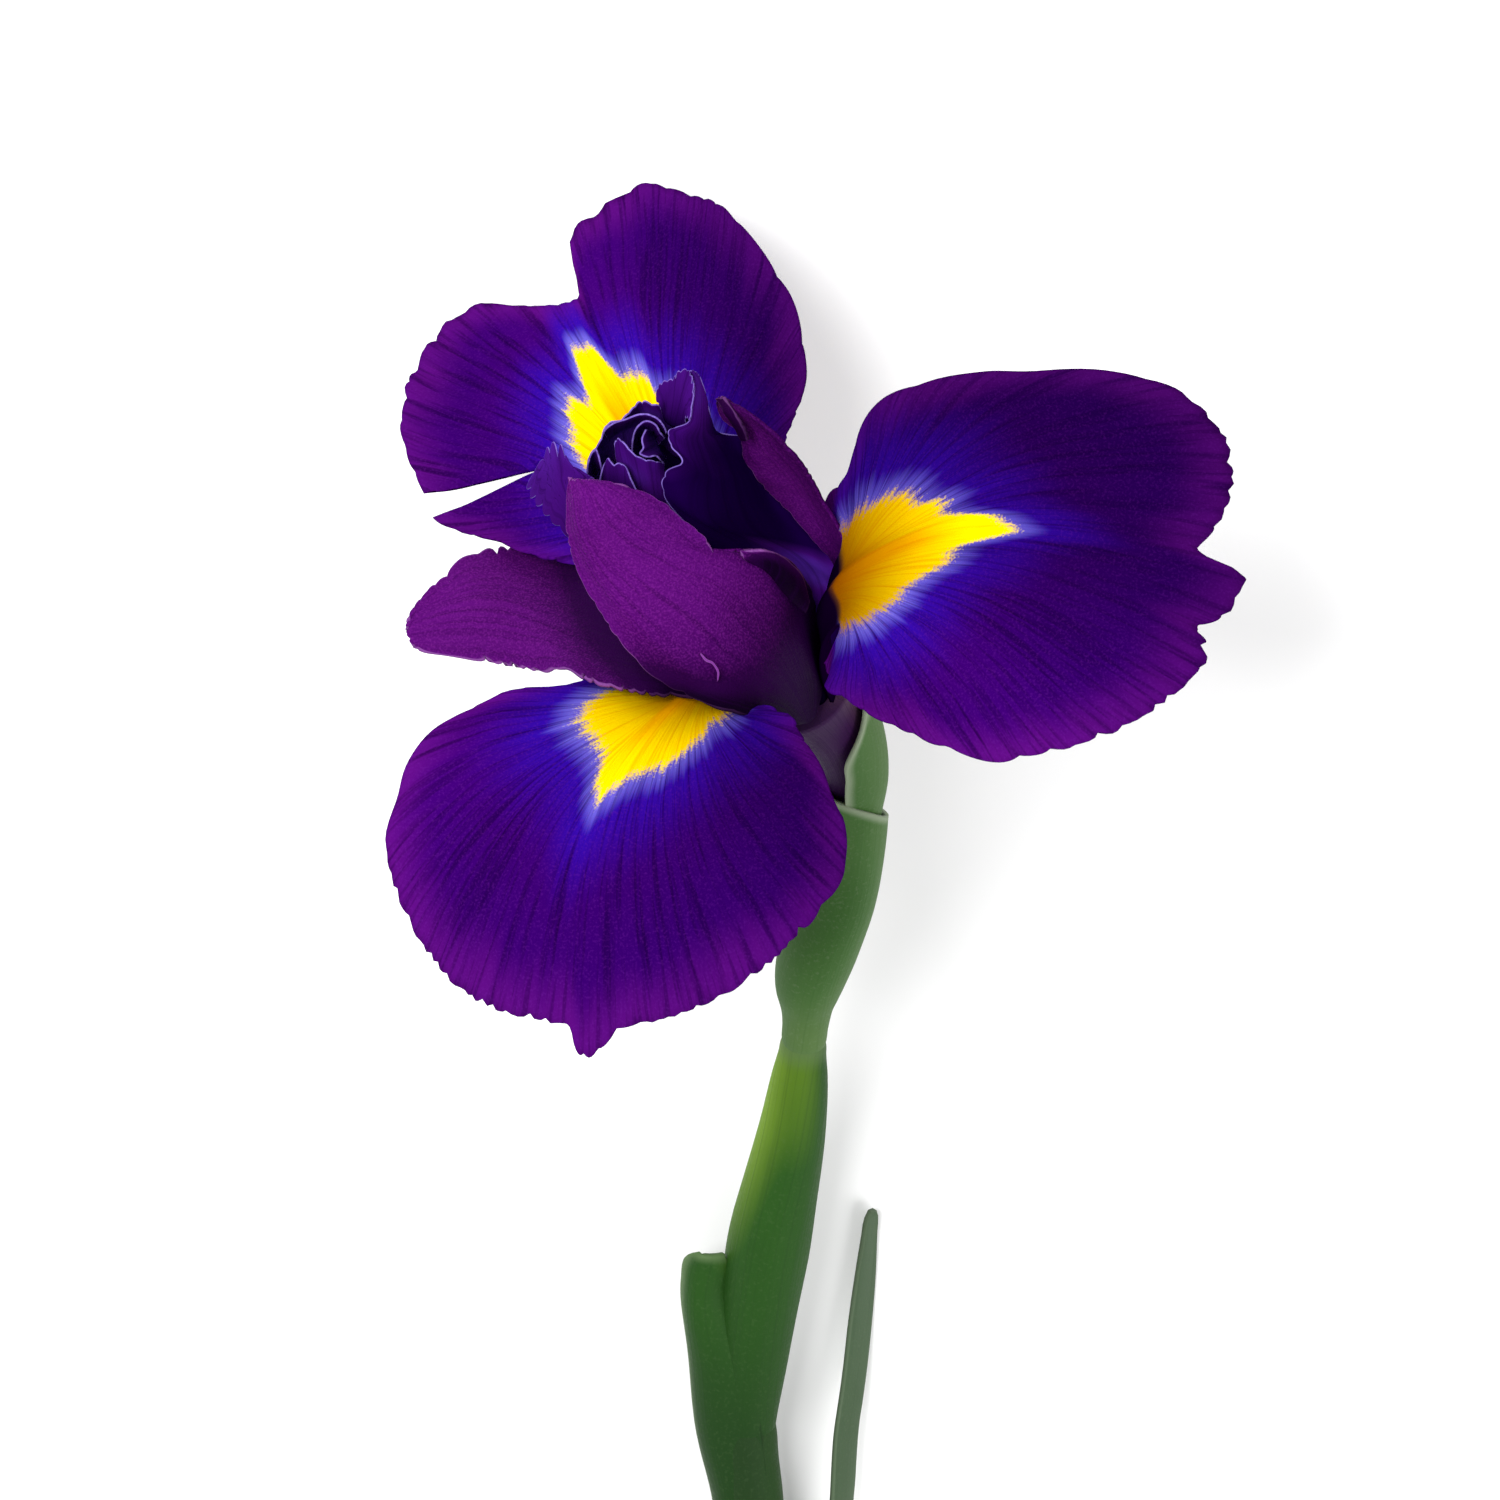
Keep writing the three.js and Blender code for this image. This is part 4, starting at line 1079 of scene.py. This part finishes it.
print("stage: stem and leaves")
stemSideways = [
    (stemEnd, 1.0), (-172, 1.3), (-143, 1.0), (-114, 0.3), (-103, -0.5), (-94, 0.2), (-77, 2.3), (-59, 5.3),
    (-44, 6.7), (-38, 7.1), (-33, 8.2), (-26, 10.3), (-18, 11.6), (-12, 11.9), (-7, 11.6), (-0.9, 10.0),
    (flowerBase.y, flowerBase.x),
]
stemHeight = [
    (stemEnd, 4.6), (-172, 4.6), (-143, 4.8), (-114, 5.4), (-103, 6.2), (-94, 7.0), (-77, 9.2), (-59, 12.8),
    (-44, 17.0), (-33, 21.0), (-26, 24.0), (-18, 27.6), (-12, 30.4), (-7, 32.6), (-0.9, 35.8),
    (flowerBase.y, flowerBase.z),
]


# Place on the stem's line with the directions to its right and above it
def stemStation(y):
    def at(place):
        held = between(place, stemEnd, flowerBase.y)
        return Vector((curve(stemSideways, held), held, curve(stemHeight, held)))

    along = (at(y + stemStep) - at(y - stemStep)).normalized()
    right = along.cross(Vector((0, 0, 1))).normalized()
    return at(y), right, right.cross(along)


# Painted shade of the green parts: darkest in front, painted lighter towards both sides
def frontShade(paintedShades, y, lateral):
    left, middle, right = (curve(paintedShades[k], y) for k in range(3))
    if lateral < 0:
        return blend(middle, left, lateral * lateral)
    return blend(middle, right, lateral * lateral)


# Closed round skin along the stem's line
def roundPiece(name, skin, material, slot):
    first = skin["radii"][0][0]
    last = skin["radii"][-1][0]
    segments = skin["segments"]

    def place(j, u):
        y = blend(first, last, u)
        centre, right, above = stemStation(y)
        turn = 2 * math.pi * j / segments
        radius = curve(skin["radii"], y)
        point = centre + (right * math.cos(turn) + above * math.sin(turn)) * radius
        marks = (noMargin, frontShade(skin["paintedShades"], y, math.cos(turn)))
        return point, (roundWidth * j / segments, (y - first) / veinLength), marks

    mesh = sheetMesh(segments + 1, skin["stations"], place)
    bmesh.ops.remove_doubles(mesh, verts=mesh.verts, dist=0.01 * mm)
    rims = [edge for edge in mesh.edges if edge.is_boundary]
    bmesh.ops.holes_fill(mesh, edges=rims, sides=0)
    bmesh.ops.recalc_face_normals(mesh, faces=mesh.faces)
    newObject(name, mesh, material, slot, skin["node"])


# Leaf along the stem: it hugs the stem, arches over it or stands beside it
def leafPiece(name, leaf, material, slot):
    columns = leaf["columns"]

    def place(j, u):
        share = 2 * j / (columns - 1) - 1
        end = leaf["to"]
        if "slant" in leaf:
            amount, towards = leaf["slant"]
            end += amount * math.cos(math.radians(leaf["facing"][-1][1] + share * 120 - towards))
        y = blend(leaf["from"], end, u)
        centre, right, above = stemStation(y)
        if "arch" in leaf:
            t = (share + 1) / 2
            parts = ((1 - t) ** 2, 2 * t * (1 - t), t * t)
            sideways, raised = (
                sum(parts[k] * curve(leaf["arch"][2 * k + way], y) for k in range(3)) for way in range(2)
            )
            point = centre + right * sideways + above * raised
            endScale, sideScale = leaf["rimScale"]
            rim = min((leaf["to"] - y) * endScale, t * sideScale)
            shade = blend(curve(leaf["paintedShades"][0], y), curve(leaf["paintedShades"][1], y), t)
            return point, (t * archWidth, (y - leaf["from"]) / veinLength), (rim, shade)
        facing = math.radians(curve(leaf["facing"], y))
        outward = above * math.cos(facing) + right * math.sin(facing)
        lateral = right * math.cos(facing) - above * math.sin(facing)
        if "hug" in leaf:
            hug = curve(leaf["hug"], y)
            crest = centre + outward * hug
            bend = 1 / hug
            halfWidth = math.radians(curve(leaf["halfAngle"], y)) * hug
        else:
            crest = centre + right * curve(leaf["sideways"], y) + above * curve(leaf["raised"], y)
            bend = curve(leaf["bend"], y)
            halfWidth = curve(leaf["halfWidth"], y)
        turn = bend * halfWidth * share
        point = crest + lateral * (math.sin(turn) / bend) + outward * ((math.cos(turn) - 1) / bend)
        rim = min((1 - abs(share)) * halfWidth + leaf["sideRim"], abs(end - y) + leaf["endRim"])
        side = math.sin(facing + turn) if "hug" in leaf else share
        marks = (rim, frontShade(leaf["paintedShades"], y, between(side, -1, 1)))
        return point, (share * halfWidth / leafWidth, (y - leaf["from"]) / veinLength), marks

    mesh = sheetMesh(columns, leaf["rows"], place)
    piece = newObject(name, mesh, material, slot, leaf["node"])
    solidify(piece, leaf["thickness"])


# Painted shades are the shades painted at the left, in front and at the right, each along the stem
tubeSkin = {
    "node": "perianth_tube",
    "stations": 60,
    "segments": 48,
    "radii": [
        (-36, 2.4), (-33, 3.0), (-26, 2.6), (-18, 2.5), (-12, 2.5), (-6, 3.3), (-2, 3.8), (1, 4.3), (4, 5.0),
        (5.6, 5.6), (flowerBase.y, 5.9),
    ],
    "paintedShades": [[(0, 1.0)], [(-12, 0.8), (5, 0.6)], [(-12, 0.5), (5, 0.1)]],
}
stemSkin = {
    "node": "stem",
    "stations": 200,
    "segments": 44,
    "radii": [
        (stemEnd, 3.6), (-172, 3.8), (-143, 3.9), (-114, 3.9), (-108, 3.85), (-104, 3.85), (-101.5, 3.5),
        (-98, 3.0), (-85, 3.8), (-77, 4.0), (-68, 3.5), (-59, 2.9), (-50, 2.2), (-45, 1.7), (-40, 2.0),
        (-36.4, 2.0),
    ],
    "paintedShades": [[(0, 0.9)], [(0, 1.0)], [(0, 0.7)]],
}
roundPiece("tube_skin", tubeSkin, tubeMaterial, "tube")
roundPiece("stem_skin", stemSkin, stemMaterial, "stem")

spatheOuter = {
    "node": "spathe_outer",
    "from": -48.5,
    "to": -10.6,
    "slant": (3.6, -45),
    "thickness": 0.5,
    "rows": 80,
    "columns": 90,
    "facing": [(-48, 20), (-12, 20)],
    "hug": [
        (-48.5, 2.0), (-46.8, 2.45), (-45, 2.52), (-42, 2.9), (-39.6, 3.6), (-34, 4.4), (-26, 4.2),
        (-18, 3.95), (-12, 4.0), (-9, 4.2),
    ],
    "halfAngle": [(-45, 165), (-20, 160), (-12.5, 130)],
    "sideRim": noMargin,
    "endRim": 0,
    "paintedShades": [
        [(-45, 0.3), (-30, 0.9)],
        [(-45, 0.1), (-34, 0.6), (-22, 0.9), (-14, 0.5)],
        [(-45, 0.2), (-14, 0.3)],
    ],
}
spatheInner = {
    "node": "spathe_inner",
    "from": -24,
    "to": 3.2,
    "thickness": 0.5,
    "rows": 60,
    "columns": 50,
    "facing": [(-24, 85), (3.2, 85)],
    "hug": [(-24, 3.2), (-18, 3.1), (-13, 3.1), (-7, 4.2), (-1, 5.2), (3.2, 5.9)],
    "halfAngle": [(-24, 100), (-12, 99), (-4, 92), (1, 70), (3.2, 30)],
    "sideRim": 0,
    "endRim": 0,
    "paintedShades": [[(0, 0.2)], [(0, 0.5)], [(0, 0.2)]],
}
sheathLeaf = {
    "node": "sheath_leaf",
    "from": -105.5,
    "to": -46.3,
    "thickness": 0.6,
    "rows": 120,
    "columns": 80,
    "facing": [(-105, -20), (-46, -20)],
    "hug": [
        (-105.5, 2.9), (-103, 3.4), (-100, 3.7), (-94, 4.15), (-85, 4.6), (-77, 4.85), (-68, 4.35),
        (-59, 3.7), (-52, 3.05), (-49, 2.6), (-47.5, 2.45), (-46.3, 2.0),
    ],
    "halfAngle": [(-105, 165), (-60, 165), (-46, 150)],
    "sideRim": noMargin,
    "endRim": 0,
    "paintedShades": [
        [(-105, 0.9), (-88, 0.7), (-75, 0.35), (-60, 0.0), (-48, 0.0)],
        [(-105, 1.0), (-90, 0.75), (-78, 0.6), (-64, 0.5), (-56, 0.35), (-48, 0.25)],
        [(-105, 0.6), (-60, 0.55), (-54, 0.6), (-48, 0.6)],
    ],
}

# The short leaf at the left: its section arches from its left border over the stem. Arch holds the section's
# three points, each sideways and then raised; painted shades are those of the left and right borders
leftLeaf = {
    "node": "left_leaf",
    "from": -134,
    "to": -78.3,
    "thickness": 0.6,
    "rows": 110,
    "columns": 50,
    "rimScale": (2.5, 14),
    "arch": [
        [
            (-134, -4.6), (-112, -5.0), (-103, -6.2), (-94, -7.7), (-84, -9.7), (-80, -9.6), (-78.9, -9.1),
            (-78.3, -8.2),
        ],
        [(-134, -2), (-94, -1), (-84, -0.6), (-80, 0.4), (-78.3, 2.0)],
        [(-134, -4.6), (-112, -5.0), (-103, -6.3), (-94, -7.7), (-84, -8.6), (-78.3, -8.0)],
        [(-134, 4.0), (-112, 4.2), (-103, 4.4), (-94, 4.6), (-86, 4.0), (-78.3, 3.0)],
        [(-134, 0.5), (-100, 1.6), (-94, 0.6), (-88, -3.2), (-84, -4.4), (-79.5, -4.8), (-78.3, -5.4)],
        [(-134, 2.9), (-103, 3.1), (-98, 3.4), (-94, 3.4), (-88, 2.4), (-84, 1.4), (-78.3, 1.4)],
    ],
    "paintedShades": [
        [(-134, 0.9), (-94, 0.8), (-80, 0.6)],
        [(-134, 1.0), (-100, 0.95), (-90, 0.7), (-80, 0.45)],
    ],
}
rightLeaf = {
    "node": "right_leaf",
    "from": -193,
    "to": -75.5,
    "thickness": 0.7,
    "rows": 110,
    "columns": 32,
    "facing": [(-193, 90), (-170, 90), (-143, 70), (-114, 50), (-76, 45)],
    "sideways": [
        (-193, 4.5), (-172, 4.6), (-160, 5.2), (-143, 7.3), (-114, 11.4), (-103, 12.9), (-88, 13.2),
        (-76, 12.6),
    ],
    "raised": [(-193, 0), (-160, 0), (-143, -0.2), (-114, -1.0), (-103, -2.6), (-88, -6.6), (-76, -8.3)],
    "bend": [(-193, 0.22), (-170, 0.21), (-150, 0.12), (-130, 0.06), (-76, 0.04)],
    "halfWidth": [
        (-193, 5), (-186, 8), (-172, 8), (-158, 4), (-140, 2.6), (-100, 2.0), (-86, 1.7), (-79, 1.1),
        (-76.3, 0.8), (-75.5, 0.4),
    ],
    "sideRim": 0.5,
    "endRim": 0.5,
    "paintedShades": [[(0, 0.4)], [(-100, 0.4), (-80, 0.2)], [(0, 0.3)]],
}
leafPiece("spathe_outer_skin", spatheOuter, spatheMaterial, "spathe")
leafPiece("spathe_inner_skin", spatheInner, spatheMaterial, "spathe")
leafPiece("sheath_leaf_skin", sheathLeaf, sheathMaterial, "leaf")
leafPiece("left_leaf_skin", leftLeaf, sheathMaterial, "leaf")
leafPiece("right_leaf_skin", rightLeaf, leafMaterial, "leaf")

print("stage: floor, light and camera")


def floorPiece():
    mesh = bmesh.new()
    bmesh.ops.create_grid(mesh, x_segments=1, y_segments=1, size=3.0)
    data = bpy.data.meshes.new("floor")
    mesh.to_mesh(data)
    mesh.free()
    paint = Paint("floor")
    data.materials.append(paint.finish(rgb(248, 248, 248), 0.9, specular=0.1))
    floor = bpy.data.objects.new("floor", data)
    bpy.context.scene.collection.objects.link(floor)


def areaLight(name, place, target, size, power):
    data = bpy.data.lights.new(name, "AREA")
    data.shape = "DISK"
    data.size = size
    data.energy = power
    light = bpy.data.objects.new(name, data)
    light.location = place
    light.rotation_euler = (Vector(target) - Vector(place)).to_track_quat("-Z", "Y").to_euler()
    bpy.context.scene.collection.objects.link(light)


def cameraPiece():
    data = bpy.data.cameras.new("camera")
    data.sensor_width = sensorWidth
    data.lens = sensorWidth * viewPixels / pictureSize
    data.clip_start = 0.01
    camera = bpy.data.objects.new("camera", data)
    axes = Matrix((viewRight, viewUp, viewTowards)).transposed().to_4x4()
    camera.matrix_world = Matrix.Translation(placed(viewMiddle + viewTowards * viewDistance)) @ axes
    bpy.context.scene.collection.objects.link(camera)
    bpy.context.scene.camera = camera


def worldLight():
    world = bpy.data.worlds.new("studio")
    world.use_nodes = True
    background = world.node_tree.nodes["Background"]
    background.inputs["Color"].default_value = (1, 1, 1, 1)
    background.inputs["Strength"].default_value = 0.75
    bpy.context.scene.world = world


floorPiece()
worldLight()
areaLight("key", (-0.35, 0.45, 0.8), (0, 0.06, 0.03), 0.5, 9)
areaLight("fill", (0.6, -0.3, 0.7), (0, 0.02, 0.03), 0.6, 4)
cameraPiece()
bpy.context.scene.view_settings.view_transform = "Standard"
